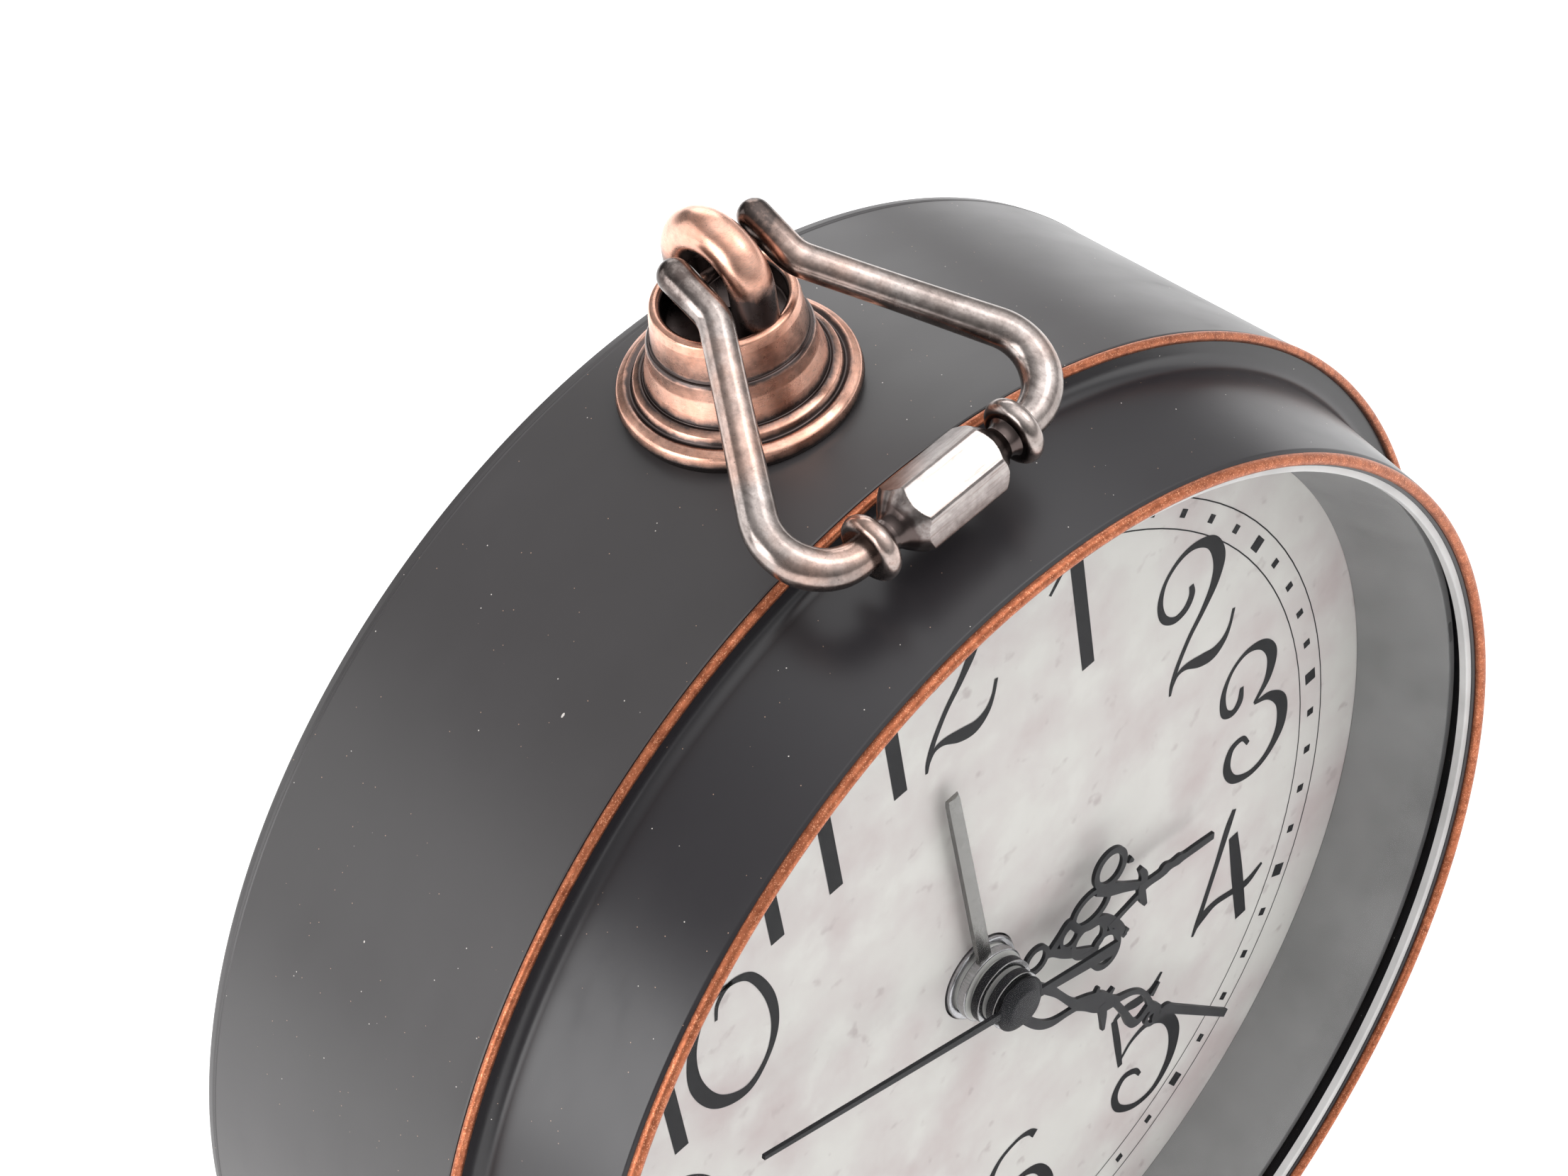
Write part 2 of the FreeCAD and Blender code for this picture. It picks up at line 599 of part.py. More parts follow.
def battery_door():
    """The cell's door: its lower edge is round, and turns on a pin at each end."""
    high, end = DOOR_Z[1] - DOOR_GAP, DOOR_X - DOOR_GAP
    plate = box(-end, end, *COVER_Y, DOOR_AXIS[1], high)
    grips = [box(-5, 5, COVER_Y[1] - 0.1, COVER_Y[1] + 0.5, high - z, high - z + 0.7) for z in (2.2, 3.9, 5.6)]
    return fused([plate, door_bar(DOOR_HALF, end), door_bar(DOOR_PIN_R, DOOR_X + DOOR_PIN_DEEP)] + grips)


def battery_tray():
    outer = box(-TRAY_X, TRAY_X, *TRAY_Y, *TRAY_Z)
    inner = box(-TRAY_X + WALL, TRAY_X - WALL, TRAY_Y[0] + WALL, 40, TRAY_Z[0] + WALL, TRAY_Z[1] - WALL)
    return outer.cut(inner)


def battery():
    """One AA cell, lying across the tray."""
    body = Part.makeCylinder(CELL_R, CELL_L, V(-CELL_L / 2 + 1.0, CELL_Y, CELL_Z), X_AXIS)
    nub = Part.makeCylinder(2.7, 1.2, V(CELL_L / 2 + 0.9, CELL_Y, CELL_Z), X_AXIS)
    return body.fuse(nub)


def battery_spring():
    """The coil spring at the cell's negative end, on its contact plate."""
    wall_x = -TRAY_X + WALL
    plate = box(wall_x, wall_x + 0.4, CELL_Y - 6, CELL_Y + 6, CELL_Z - 6, CELL_Z + 6)
    free_end = -CELL_L / 2 + 1.0
    turns = 3.0
    length = free_end - 0.35 - (wall_x + 0.75)
    helix = Part.makeHelix(length / turns, length, 3.6)
    section = Part.Wire(Part.Circle(V(3.6, 0, 0), V(0, 1, 0), 0.35).toShape())
    spring = Part.Wire(helix).makePipeShell([section], True, True)
    spring.rotate(V(0, 0, 0), Y_AXIS, 90)
    spring.translate(V(wall_x + 0.72, CELL_Y, CELL_Z))
    return Part.makeCompound([plate, spring])


def battery_contact():
    """The flat contact at the cell's positive end."""
    wall_x = TRAY_X - WALL
    nub_end = CELL_L / 2 + 2.1
    plate = box(wall_x - 0.4, wall_x, CELL_Y - 6, CELL_Y + 6, CELL_Z - 6, CELL_Z + 6)
    dimple = Part.makeCylinder(2.0, wall_x - 0.3 - nub_end, V(nub_end, CELL_Y, CELL_Z), X_AXIS)
    return plate.fuse(dimple)


def knob(at):
    """A knurled finger knob, bored for its shaft."""
    body = rod(KNOB_R - 0.4, KNOB_Y[0], KNOB_Y[1], *at)
    ribs = []
    for i in range(24):
        angle = 2 * math.pi * i / 24
        x, z = at[0] + (KNOB_R - 0.45) * math.cos(angle), at[1] + (KNOB_R - 0.45) * math.sin(angle)
        ribs.append(rod(0.45, KNOB_Y[0] + 0.8, KNOB_Y[1] - 0.6, x, z))
    bore = rod(SHAFT_R, KNOB_Y[0] - 1, KNOB_Y[0] + 4, *at)
    return fused([body] + ribs).cut(bore)


# ---- Handle ----
def handle_base():
    """The turned base: flange, bead, bell and cup, with its underside hollowed to sit on the drum."""
    body = turn_about_z([
        (SHAFT_R + CLEAR, 55.0), (8.7, 55.0), (8.9, 57.2), (9.25, 57.9, 8.75, 58.75), (8.1, 58.9), (7.95, 58.75),
        (7.5, 59.55, 7.0, 59.4), (6.95, 59.75), (6.5, 61.2, 6.3, 62.6), (6.2, 62.9), (5.95, 62.95), (5.92, 63.15),
        (5.6, 65.6), (5.45, 66.05, 5.05, RIM_Z), (4.75, 66.05, CUP_R, 65.7), (CUP_R, CUP_FLOOR_Z),
        (SHAFT_R + CLEAR, CUP_FLOOR_Z)], 0, HANDLE_Y)
    return body.cut(rod(CASE_R + 0.02, -30, 60)).cut(eye_arch(EYE_WIRE_R + CLEAR))


def eye_arch(radius):
    """The eye's arch: two legs and a half turn of thick wire."""
    leg_foot = CUP_FLOOR_Z + 0.3
    y, z, bend = HANDLE_Y, EYE_CENTRE_Z, EYE_BEND_R
    path = Part.Wire([
        Part.LineSegment(V(0, y - bend, leg_foot), V(0, y - bend, z)).toShape(),
        Part.Arc(V(0, y - bend, z), V(0, y, z + bend), V(0, y + bend, z)).toShape(),
        Part.LineSegment(V(0, y + bend, z), V(0, y + bend, leg_foot)).toShape()])
    section = Part.Wire(Part.Circle(V(0, y - bend, leg_foot), Z_AXIS, radius).toShape())
    return path.makePipeShell([section], True, True)


def handle_eye():
    """The thick eye that the bail hangs in, with its foot in the cup and its stud down into the case."""
    foot = Part.makeCylinder(CUP_R - 0.1, 0.7, V(0, HANDLE_Y, CUP_FLOOR_Z), Z_AXIS)
    stud = Part.makeCylinder(SHAFT_R, CUP_FLOOR_Z + 0.1 - 51.0, V(0, HANDLE_Y, 51.0), Z_AXIS)
    return fused([eye_arch(EYE_WIRE_R), foot, stud])


def handle_washer():
    disc = Part.makeCylinder(4.0, 0.8, V(0, HANDLE_Y, CASE_R - SHEET - 0.95), Z_AXIS)
    return disc.cut(Part.makeCylinder(SHAFT_R + CLEAR, 5, V(0, HANDLE_Y, 54), Z_AXIS))


def handle_nut():
    top = CASE_R - SHEET - 0.95
    nut = hexagon(V(0, HANDLE_Y, top - 2.4), Z_AXIS, 3.2, 2.4)
    return nut.cut(Part.makeCylinder(SHAFT_R, 9, V(0, HANDLE_Y, 50), Z_AXIS))


def hexagon(base, direction, corner_r, length):
    """A six-sided bar."""
    bar = Part.Face(Part.makePolygon([
        V(corner_r * math.cos(math.radians(60 * i)), corner_r * math.sin(math.radians(60 * i)), 0)
        for i in range(7)])).extrude(V(0, 0, length))
    bar.Placement = FreeCAD.Placement(base, FreeCAD.Rotation(Z_AXIS, direction))
    return bar


def bail_arm(side):
    """One half of the bail: the stub in the eye, the bent wire, and the bead beside the barrel."""
    bar_end = V(side * (BEAD_X - 0.6), BAR_Y, BAR_Z)
    corner = V(side * BAR_CORNER_X, BAR_Y, BAR_Z)
    kink = V(side * BAIL_KINK.x, BAIL_KINK.y, BAIL_KINK.z)
    tip = V(side * BAIL_TIP.x, BAIL_TIP.y, BAIL_TIP.z)
    wire = wire_along(rounded_path([tip, kink, corner, bar_end], [3.0, 4.3]), BAIL_WIRE_R)
    swell = wire_along(rounded_path([kink + (corner - kink) * 0.42, corner, bar_end], [4.3]), BAIL_SWELL_R)
    tip_ball = Part.makeSphere(BAIL_WIRE_R, tip)
    stub_root = side * (BAIL_TIP.x + 0.4)
    stub = Part.makeCylinder(STUB_R, abs(stub_root) - STUB_END_X, V(stub_root, STUB_Y, STUB_Z), X_AXIS * -side)
    bead = Part.makeTorus(BEAD_MAJOR_R, BEAD_MINOR_R, V(side * BEAD_X, BAR_Y, BAR_Z), X_AXIS)
    core_start = V(side * BEAD_X - BEAD_MINOR_R, BAR_Y, BAR_Z)
    bead_core = Part.makeCylinder(BEAD_MAJOR_R, 2 * BEAD_MINOR_R, core_start, X_AXIS)
    return fused([wire, swell, tip_ball, stub, bead, bead_core])


def bail_barrel():
    """The six-sided grip between the two beads, with a neck at each end."""
    half = BEAD_X - BEAD_MINOR_R - 0.02
    wide, flat, full, small = BARREL_CORNER_R, BARREL_FLAT_HALF, BARREL_HALF, BARREL_END_R
    bar = hexagon(V(-full, BAR_Y, BAR_Z), X_AXIS, wide, 2 * full)
    ends = turn_about_x([(0, -full), (small, -full), (wide, -flat), (wide, flat), (small, full), (0, full)])
    necks = turn_about_x([(0, -half), (1.5, -half), (1.3, -half + 0.6), (small, -full + 0.1),
                          (small, full - 0.1), (1.3, half - 0.6), (1.5, half), (0, half)])
    return fused([bar.common(ends), necks])


def turn_about_x(profile):
    """Revolves (r, x) points about the bail's cross bar."""
    corners = [V(x, BAR_Y, BAR_Z + r) for r, x in profile]
    face = Part.Face(Part.makePolygon(corners + [corners[0]]))
    return face.revolve(V(0, BAR_Y, BAR_Z), X_AXIS, 360)


# ---- Feet ----
def foot_direction(side):
    lean = math.radians(FOOT_ANGLE)
    return V(side * math.sin(lean), 0, -math.cos(lean))


def foot_point(side, y, distance):
    out = foot_direction(side) * distance
    return V(out.x, y, out.z)


def foot_tip_distance():
    return (-STAND_Z - TIP_DROP) / math.cos(math.radians(FOOT_ANGLE))


def along_foot(profile, side, y):
    """Revolves (r, distance from the dial's axis) steps about a foot's own axis."""
    body = turn_about_z(profile)
    body.Placement = FreeCAD.Placement(V(0, y, 0), FreeCAD.Rotation(Z_AXIS, foot_direction(side)))
    return body


def foot(side, y):
    """A turned foot with a flange against the drum and a cup for its rubber tip."""
    tip = foot_tip_distance()
    body = along_foot([
        (1.0, 54.0), (4.9, 54.0), (5.3, 57.6), (5.5, 58.15, 5.1, 58.8), (4.4, 59.0), (4.2, 59.4),
        (3.0, 61.2, 2.8, 63.6), (3.2, tip - 5.6), (4.35, tip - 4.0), (4.4, tip - 3.3), (4.05, tip - 3.1),
        (1.0, tip - 3.1)], side, y)
    return body.cut(rod(CASE_R + 0.02, -30, 60))


def foot_pad(side, y):
    """The rubber tip of a foot: most of a ball, flat where it stands."""
    tip = foot_tip_distance()
    centre = foot_point(side, y, tip)
    ball = Part.makeSphere(TIP_R, centre)
    seat = Part.makeCylinder(20, 20, foot_point(side, y, tip - 3.1), foot_direction(side) * -1)
    bore = Part.makeCylinder(1.0, 6, foot_point(side, y, tip - 5), foot_direction(side))
    floor = box(-90, 90, -40, 60, STAND_Z - 30, STAND_Z)
    return ball.cut(seat).cut(bore).cut(floor)


def foot_screw(side, y):
    head = Part.makeCylinder(2.4, 1.3, foot_point(side, y, CASE_R - SHEET - 1.35), foot_direction(side))
    start = CASE_R - SHEET - 0.6
    shank = Part.makeCylinder(1.0, foot_tip_distance() + 0.9 - start, foot_point(side, y, start),
                              foot_direction(side))
    return head.fuse(shank)


PARTS = {
    "case_shell": case_shell,
    "front_bezel": front_bezel,
    "outer_ring": outer_ring,
    "inner_ring": inner_ring,
    "lens": lens,
    "lens_gasket": lens_gasket,
    "dial_surround": dial_surround,
    "dial": dial,
    "center_washer": center_washer,
    "dial_carrier": dial_carrier,
    "alarm_hand": alarm_hand,
    "hour_hand": hour_hand,
    "minute_hand": minute_hand,
    "second_hand": second_hand,
    "alarm_wheel": alarm_wheel,
    "hour_wheel": hour_wheel,
    "minute_cannon": minute_cannon,
    "minute_wheel": minute_wheel,
    "alarm_pinion": alarm_pinion,
    "second_wheel": second_wheel,
    "third_wheel": third_wheel,
    "rotor": rotor,
    "stator": stator,
    "coil": coil,
    "circuit_board": circuit_board,
    "quartz_crystal": quartz_crystal,
    "buzzer": buzzer,
    "movement_front_plate": movement_front_plate,
    "movement_mid_plate": movement_mid_plate,
    "movement_housing": movement_housing,
    "movement_screws": movement_screws,
    "alarm_switch": alarm_switch,
    "rear_cover": rear_cover,
    "rear_cover_screws": rear_cover_screws,
    "battery_door": battery_door,
    "battery_tray": battery_tray,
    "battery": battery,
    "battery_spring": battery_spring,
    "battery_contact": battery_contact,
    "time_knob": lambda: knob(TIME_AT),
    "alarm_knob": lambda: knob(ALARM_AT),
    "handle_base": handle_base,
    "handle_eye": handle_eye,
    "handle_washer": handle_washer,
    "handle_nut": handle_nut,
    "bail_arm_left": lambda: bail_arm(-1),
    "bail_arm_right": lambda: bail_arm(1),
    "bail_barrel": bail_barrel,
}
for side, hand in ((-1, "left"), (1, "right")):
    for y, end in zip(FOOT_YS, ("front", "rear")):
        PARTS["foot_%s_%s" % (end, hand)] = lambda side=side, y=y: foot(side, y)
        PARTS["foot_pad_%s_%s" % (end, hand)] = lambda side=side, y=y: foot_pad(side, y)
PARTS["foot_screws"] = lambda: Part.makeCompound([foot_screw(s, y) for s in (-1, 1) for y in FOOT_YS])


def main():
    os.makedirs("parts", exist_ok=True)
    for name, make in PARTS.items():
        shape = make()
        print(name, "solids", len(shape.Solids), "valid", shape.isValid(), "volume", round(shape.Volume, 1))
        save(name, shape)


main()
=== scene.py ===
"""Looks for the drum alarm clock: detailed meshes, procedural materials, camera, floor and light."""
import bpy
import bmesh
import json
import math
from mathutils import Matrix, Vector


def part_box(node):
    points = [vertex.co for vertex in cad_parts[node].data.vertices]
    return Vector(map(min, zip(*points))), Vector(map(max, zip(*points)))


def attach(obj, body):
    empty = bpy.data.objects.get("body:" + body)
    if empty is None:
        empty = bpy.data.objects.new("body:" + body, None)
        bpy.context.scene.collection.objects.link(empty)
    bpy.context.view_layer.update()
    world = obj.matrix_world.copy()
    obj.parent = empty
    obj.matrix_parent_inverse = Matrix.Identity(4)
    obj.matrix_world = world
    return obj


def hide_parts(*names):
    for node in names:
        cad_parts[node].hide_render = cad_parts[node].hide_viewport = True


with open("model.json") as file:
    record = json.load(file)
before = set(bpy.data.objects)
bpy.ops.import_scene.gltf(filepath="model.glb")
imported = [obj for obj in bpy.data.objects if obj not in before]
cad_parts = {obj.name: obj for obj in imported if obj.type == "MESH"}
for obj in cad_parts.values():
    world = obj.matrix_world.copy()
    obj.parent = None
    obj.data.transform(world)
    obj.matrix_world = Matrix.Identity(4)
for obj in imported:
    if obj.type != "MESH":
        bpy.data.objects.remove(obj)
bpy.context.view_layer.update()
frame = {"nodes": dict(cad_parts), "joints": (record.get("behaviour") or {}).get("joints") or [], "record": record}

MM = 0.001
# ---- Sizes shared with the CAD model, in millimetres from the dial's axis and the case's front edge ----
CASE_R = 57.5
CASE_DEPTH = 27.6
OUTER_BEAD_AT, OUTER_BEAD_R = 57.2, 0.4
INNER_BEAD_AT, INNER_BEAD_R, INNER_BEAD_Y = 52.1, 0.48, -11.45
DIAL_Y = -0.6
DIAL_R, DIAL_BORE_R = 51.8, 4.1
LENS_R, LENS_FRONT, LENS_BACK = 51.45, -10.3, -9.0
HANDLE_Y = 16.0
EYE_WIRE_R, EYE_BEND_R, EYE_Z = 1.72, 3.45, 68.7
CUP_R, RIM_Z = 4.6, 66.2
BAR_Y, BAR_Z, BAR_CORNER_X = -5.0, 59.35, 16.3
BAIL_TIP, BAIL_KINK = (4.0, 15.8, 71.1), (4.0, 12.1, 69.1)
KINK_BEND_R, CORNER_BEND_R = 3.0, 4.3
STUB_Y, STUB_Z, STUB_R = 15.3, 69.6, 0.55
BEAD_X, BEAD_MAJOR_R, BEAD_MINOR_R = 7.3, 1.85, 0.8
BARREL_CORNER_R = 3.02
STAND_Z = -64.0
FOOT_ANGLE, FOOT_YS = 30.0, (6.3, 21.3)
TIP_DROP = 2.2
HAND_SHEET = 0.35
HOUR_HAND_Y, MINUTE_HAND_Y = -2.9, -4.2
ALARM_HAND_L, ALARM_HAND_HALF = 24.3, 0.85

# ---- Sizes of the looks alone, or up to 0.1 mm from the CAD model's, in the same millimetres ----
CUP_FLOOR_Z = 64.25
ALARM_HAND_Y, ALARM_HAND_CROWN = -1.62, 0.40
SECOND_HAND_Y = -5.3
TRACK_RING_RS, TRACK_RING_WIDTH = (40.9, 43.7), 0.13
TRACK_MARK_R, TRACK_HOUR_HALF, TRACK_MINUTE_HALF = 42.3, 0.66, 0.40
WIRE_R, WIRE_TAPER, TAPER_REACH = 1.34, 0.03, 4.0
WIRE_SWELL, SWELL_REACH = 0.26, 15.0
WIRE_NECK, NECK_REACH = 0.12, 3.0


def joint(name):
    """The record's joint of that name."""
    return next(j for j in frame["joints"] if j["name"] == name)


AXIS_Z = joint("minute_spin")["pos_m"][2]
ORIGIN = Vector((0.0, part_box("outer_ring")[0][1] + OUTER_BEAD_R * MM, AXIS_Z))


def at(x, y, z):
    """A point in the clock's own millimetres, as metres in the frame."""
    return Vector((x, y, z)) * MM + ORIGIN


# ---- Mesh helpers ----
MERGE_DISTANCE = 2e-7  # metres
LOOP_CLOSES = 1e-6  # a stroke whose ends are nearer than this, in millimetres, is a closed loop


def finish_mesh(name, bm, body, replaces=(), sharp=32.0, smooth=True):
    """Makes a piece of a bmesh, with closed seams, outward normals, and edges crisp past the sharp angle."""
    bmesh.ops.remove_doubles(bm, verts=bm.verts, dist=MERGE_DISTANCE)
    bmesh.ops.recalc_face_normals(bm, faces=bm.faces)
    mesh = bpy.data.meshes.new(name)
    bm.to_mesh(mesh)
    bm.free()
    if smooth:
        mesh.shade_smooth()
        mesh.set_sharp_from_angle(angle=math.radians(sharp))
    piece = bpy.data.objects.new(name, mesh)
    bpy.context.scene.collection.objects.link(piece)
    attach(piece, body)
    if replaces:
        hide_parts(*replaces)
    return piece


def give(piece, material):
    """Gives a piece one material."""
    piece.data.materials.clear()
    piece.data.materials.append(material)
    return piece


def rounded_loop(corners, steps=5):
    """A closed outline from (a, b, radius) corners, each corner rounded by its radius."""
    outline = []
    count = len(corners)
    for i in range(count):
        before, here, after = corners[i - 1], corners[i], corners[(i + 1) % count]
        p0, p1, p2 = Vector(before[:2]), Vector(here[:2]), Vector(after[:2])
        radius = here[2] if len(here) > 2 else 0.0
        if radius <= 0:
            outline.append(tuple(p1))
            continue
        into, out = (p1 - p0), (p2 - p1)
        room = 0.49 * min(into.length, out.length)
        into.normalize()
        out.normalize()
        turn = into.angle(out)
        back = min(radius * math.tan(turn / 2), room)
        for k in range(steps + 1):
            t = k / steps
            a = p1 - into * back * (1 - t)
            b = p1 + out * back * t
            outline.append(tuple(a.lerp(b, t)))
    return outline


def lathe(name, outline, body, axis="Y", centre=(0, 0), segments=256, marks=None, place=None, **kw):
    """Turns an outline of (radius, height) about Y at centre (x, z), or about Z at centre (x, y).

    A place function, where there is one, takes each point as turned about Z and puts it where it belongs.
    """
    bm = bmesh.new()
    layer = bm.verts.layers.float.new("dark")
    rings = []
    for i in range(segments):
        a = 2 * math.pi * i / segments
        ring = []
        for r, h in outline:
            if place:
                p = place(Vector((r * math.cos(a), r * math.sin(a), h)))
            elif axis == "Y":
                p = at(centre[0] + r * math.cos(a), h, centre[1] + r * math.sin(a))
            else:
                p = at(centre[0] + r * math.cos(a), centre[1] + r * math.sin(a), h)
            v = bm.verts.new(p)
            if marks:
                v[layer] = marks(r, h)
            ring.append(v)
        rings.append(ring)
    count = len(outline)
    for i in range(segments):
        one, two = rings[i], rings[(i + 1) % segments]
        for k in range(count):
            n = (k + 1) % count
            bm.faces.new((one[k], one[n], two[n], two[k]))
    return finish_mesh(name, bm, body, **kw)


def arc_points(start, corner, end, radius, steps=12):
    """Points of the arc that rounds a 3-D corner."""
    into = (corner - start).normalized()
    out = (end - corner).normalized()
    turn = into.angle(out)
    back = radius * math.tan(turn / 2)
    a, b = corner - into * back, corner + out * back
    centre = corner + (out - into).normalized() * (radius / math.cos(turn / 2))
    made = []
    for k in range(steps + 1):
        p = a.lerp(b, k / steps) - centre
        made.append(centre + p.normalized() * radius)
    return made


def sweep(name, path, radii, body, sides=28, **kw):
    """A round bar along a path of points, with its own radius at each, in millimetres."""
    bm = bmesh.new()
    layer = bm.verts.layers.float.new("dark")
    normal = None
    rings = []
    for i, p in enumerate(path):
        ahead = path[min(i + 1, len(path) - 1)] - path[max(i - 1, 0)]
        ahead.normalize()
        if normal is None:
            normal = ahead.orthogonal().normalized()
        normal = (normal - ahead * normal.dot(ahead)).normalized()
        side = ahead.cross(normal)
        ring = []
        for k in range(sides):
            a = 2 * math.pi * k / sides
            q = p + (normal * math.cos(a) + side * math.sin(a)) * radii[i]
            v = bm.verts.new(at(*q))
            v[layer] = 0.0
            ring.append(v)
        rings.append(ring)
    for one, two in zip(rings, rings[1:]):
        for k in range(sides):
            n = (k + 1) % sides
            bm.faces.new((one[k], one[n], two[n], two[k]))
    bm.faces.new(rings[0])
    bm.faces.new(rings[-1])
    return finish_mesh(name, bm, body, **kw)


def dome_ends(path, radii, first=True, last=True, steps=6):
    """Adds points that round off the ends of a swept bar."""
    path, radii = list(path), list(radii)
    if first:
        way, r = (path[0] - path[1]).normalized(), radii[0]
        extra = [(path[0] + way * r * math.sin(t), r * math.cos(t))
                 for t in [math.pi / 2 * k / steps for k in range(steps, 0, -1)]]
        path = [e[0] for e in extra] + path
        radii = [max(e[1], 0.01) for e in extra] + radii
    if last:
        way, r = (path[-1] - path[-2]).normalized(), radii[-1]
        extra = [(path[-1] + way * r * math.sin(t), r * math.cos(t))
                 for t in [math.pi / 2 * k / steps for k in range(1, steps + 1)]]
        path += [e[0] for e in extra]
        radii += [max(e[1], 0.01) for e in extra]
    return path, radii


def spline(points, steps=9):
    """Catmull-Rom points through rows of numbers."""
    rows = [Vector(p) for p in points]
    if (rows[0] - rows[-1]).length < LOOP_CLOSES:
        ends = (rows[-2], rows[1])
    else:
        ends = (rows[0] * 2 - rows[1], rows[-1] * 2 - rows[-2])
    full = [ends[0]] + rows + [ends[1]]
    made = []
    for i in range(1, len(full) - 2):
        p0, p1, p2, p3 = full[i - 1:i + 3]
        for k in range(steps):
            t = k / steps
            made.append(0.5 * ((2 * p1) + (p2 - p0) * t + (2 * p0 - 5 * p1 + 4 * p2 - p3) * t * t
                               + (3 * p1 - p0 - 3 * p2 + p3) * t ** 3))
    made.append(rows[-1])
    return made


def ribbon(bm, strokes, y_front, thick, lift=0.004, turn=0.0, smooth=True):
    """Flat strokes in the dial's plane. Each stroke is rows of (x, z, width); thick 0 makes a print."""
    c, s = math.cos(math.radians(turn)), math.sin(math.radians(turn))
    for number, stroke in enumerate(strokes):
        rows = spline([Vector((x, z, w)) for x, z, w in stroke]) if smooth and len(stroke) > 2 else \
            [Vector(p) for p in stroke]
        y = y_front - lift * number
        left, right = [], []
        for i, row in enumerate(rows):
            a, b = rows[max(i - 1, 0)], rows[min(i + 1, len(rows) - 1)]
            if (rows[0] - rows[-1]).length < LOOP_CLOSES:
                a = rows[i - 1] if i else rows[-2]
                b = rows[i + 1] if i < len(rows) - 1 else rows[1]
            way = Vector((b.x - a.x, b.y - a.y)).normalized()
            side = Vector((-way.y, way.x)) * max(row.z, 0.05) / 2
            for store, sign in ((left, 1), (right, -1)):
                x, z = row.x + side.x * sign, row.y + side.y * sign
                store.append((x * c + z * s, z * c - x * s))
        fronts = [[bm.verts.new(at(x, y, z)) for x, z in line] for line in (left, right)]
        if thick:
            backs = [[bm.verts.new(at(x, y + thick, z)) for x, z in line] for line in (left, right)]
        for i in range(len(rows) - 1):
            bm.faces.new((fronts[0][i], fronts[0][i + 1], fronts[1][i + 1], fronts[1][i]))
            if thick:
                bm.faces.new((backs[0][i], backs[1][i], backs[1][i + 1], backs[0][i + 1]))
                bm.faces.new((fronts[0][i], backs[0][i], backs[0][i + 1], fronts[0][i + 1]))
                bm.faces.new((fronts[1][i], fronts[1][i + 1], backs[1][i + 1], backs[1][i]))
        if thick:
            for i in (0, len(rows) - 1):
                bm.faces.new((fronts[0][i], fronts[1][i], backs[1][i], backs[0][i]))


# ---- Material helpers ----
def material(name, colour, rough, metallic=0.0, **inputs):
    """A material with these uniform values, and any other shader input by its name."""
    m = bpy.data.materials.new(name)
    m.use_nodes = True
    shader = m.node_tree.nodes["Principled BSDF"]
    shader.inputs["Base Color"].default_value = (*colour, 1.0)
    shader.inputs["Roughness"].default_value = rough
    shader.inputs["Metallic"].default_value = metallic
    for key, value in inputs.items():
        shader.inputs[key.replace("_", " ")].default_value = value
    return m


def node(m, kind, **settings):
    """A new node, with its inputs or its own properties set by name."""
    n = m.node_tree.nodes.new(kind)
    for key, value in settings.items():
        if key in n.inputs.keys():
            n.inputs[key].default_value = value
        else:
            setattr(n, key, value)
    return n


def link(m, a, a_out, b, b_in):
    """Joins an output of one node to an input of another."""
    m.node_tree.links.new(a.outputs[a_out], b.inputs[b_in])


def shader_of(m):
    """The material's main shader."""
    return m.node_tree.nodes["Principled BSDF"]


def noise(m, scale, detail=4.0, rough=0.55, stretch=None):
    """A noise in the piece's own coordinates, drawn out along the axes whose stretch is small."""
    coords = node(m, "ShaderNodeTexCoord")
    tex = node(m, "ShaderNodeTexNoise", Scale=scale, Detail=detail, Roughness=rough)
    if stretch:
        mapping = node(m, "ShaderNodeMapping")
        mapping.inputs["Scale"].default_value = stretch
        link(m, coords, "Object", mapping, "Vector")
        link(m, mapping, "Vector", tex, "Vector")
    else:
        link(m, coords, "Object", tex, "Vector")
    return tex


def ramp(m, source, out, stops):
    """Turns a node's output into the colours or grey values of (place, value) stops."""
    r = node(m, "ShaderNodeValToRGB")
    elements = r.color_ramp.elements
    while len(elements) < len(stops):
        elements.new(0.5)
    for e, (place, value) in zip(elements, stops):
        e.position = place
        e.color = (*value, 1.0) if isinstance(value, tuple) else (value, value, value, 1.0)
    link(m, source, out, r, "Fac")
    return r


def mix(m, factor, a, b):
    """Mixes two colours; factor, a and b are each (node, output) or a plain value."""
    n = node(m, "ShaderNodeMix", data_type="RGBA", blend_type="MIX")
    for socket, value in ((n.inputs[0], factor), (n.inputs[6], a), (n.inputs[7], b)):
        if isinstance(value, tuple) and hasattr(value[0], "outputs"):
            m.node_tree.links.new(value[0].outputs[value[1]], socket)
        elif isinstance(value, tuple):
            socket.default_value = (*value, 1.0)
        else:
            socket.default_value = value
    return n


def bump(m, layers):
    """Chains bumps of (node, output, strength, distance in millimetres) into the shader's normal."""
    last = None
    for source, out, strength, distance in layers:
        b = node(m, "ShaderNodeBump", Strength=strength, Distance=distance * MM)
        link(m, source, out, b, "Height")
        if last:
            link(m, last, "Normal", b, "Normal")
        last = b
    link(m, last, "Normal", shader_of(m), "Normal")


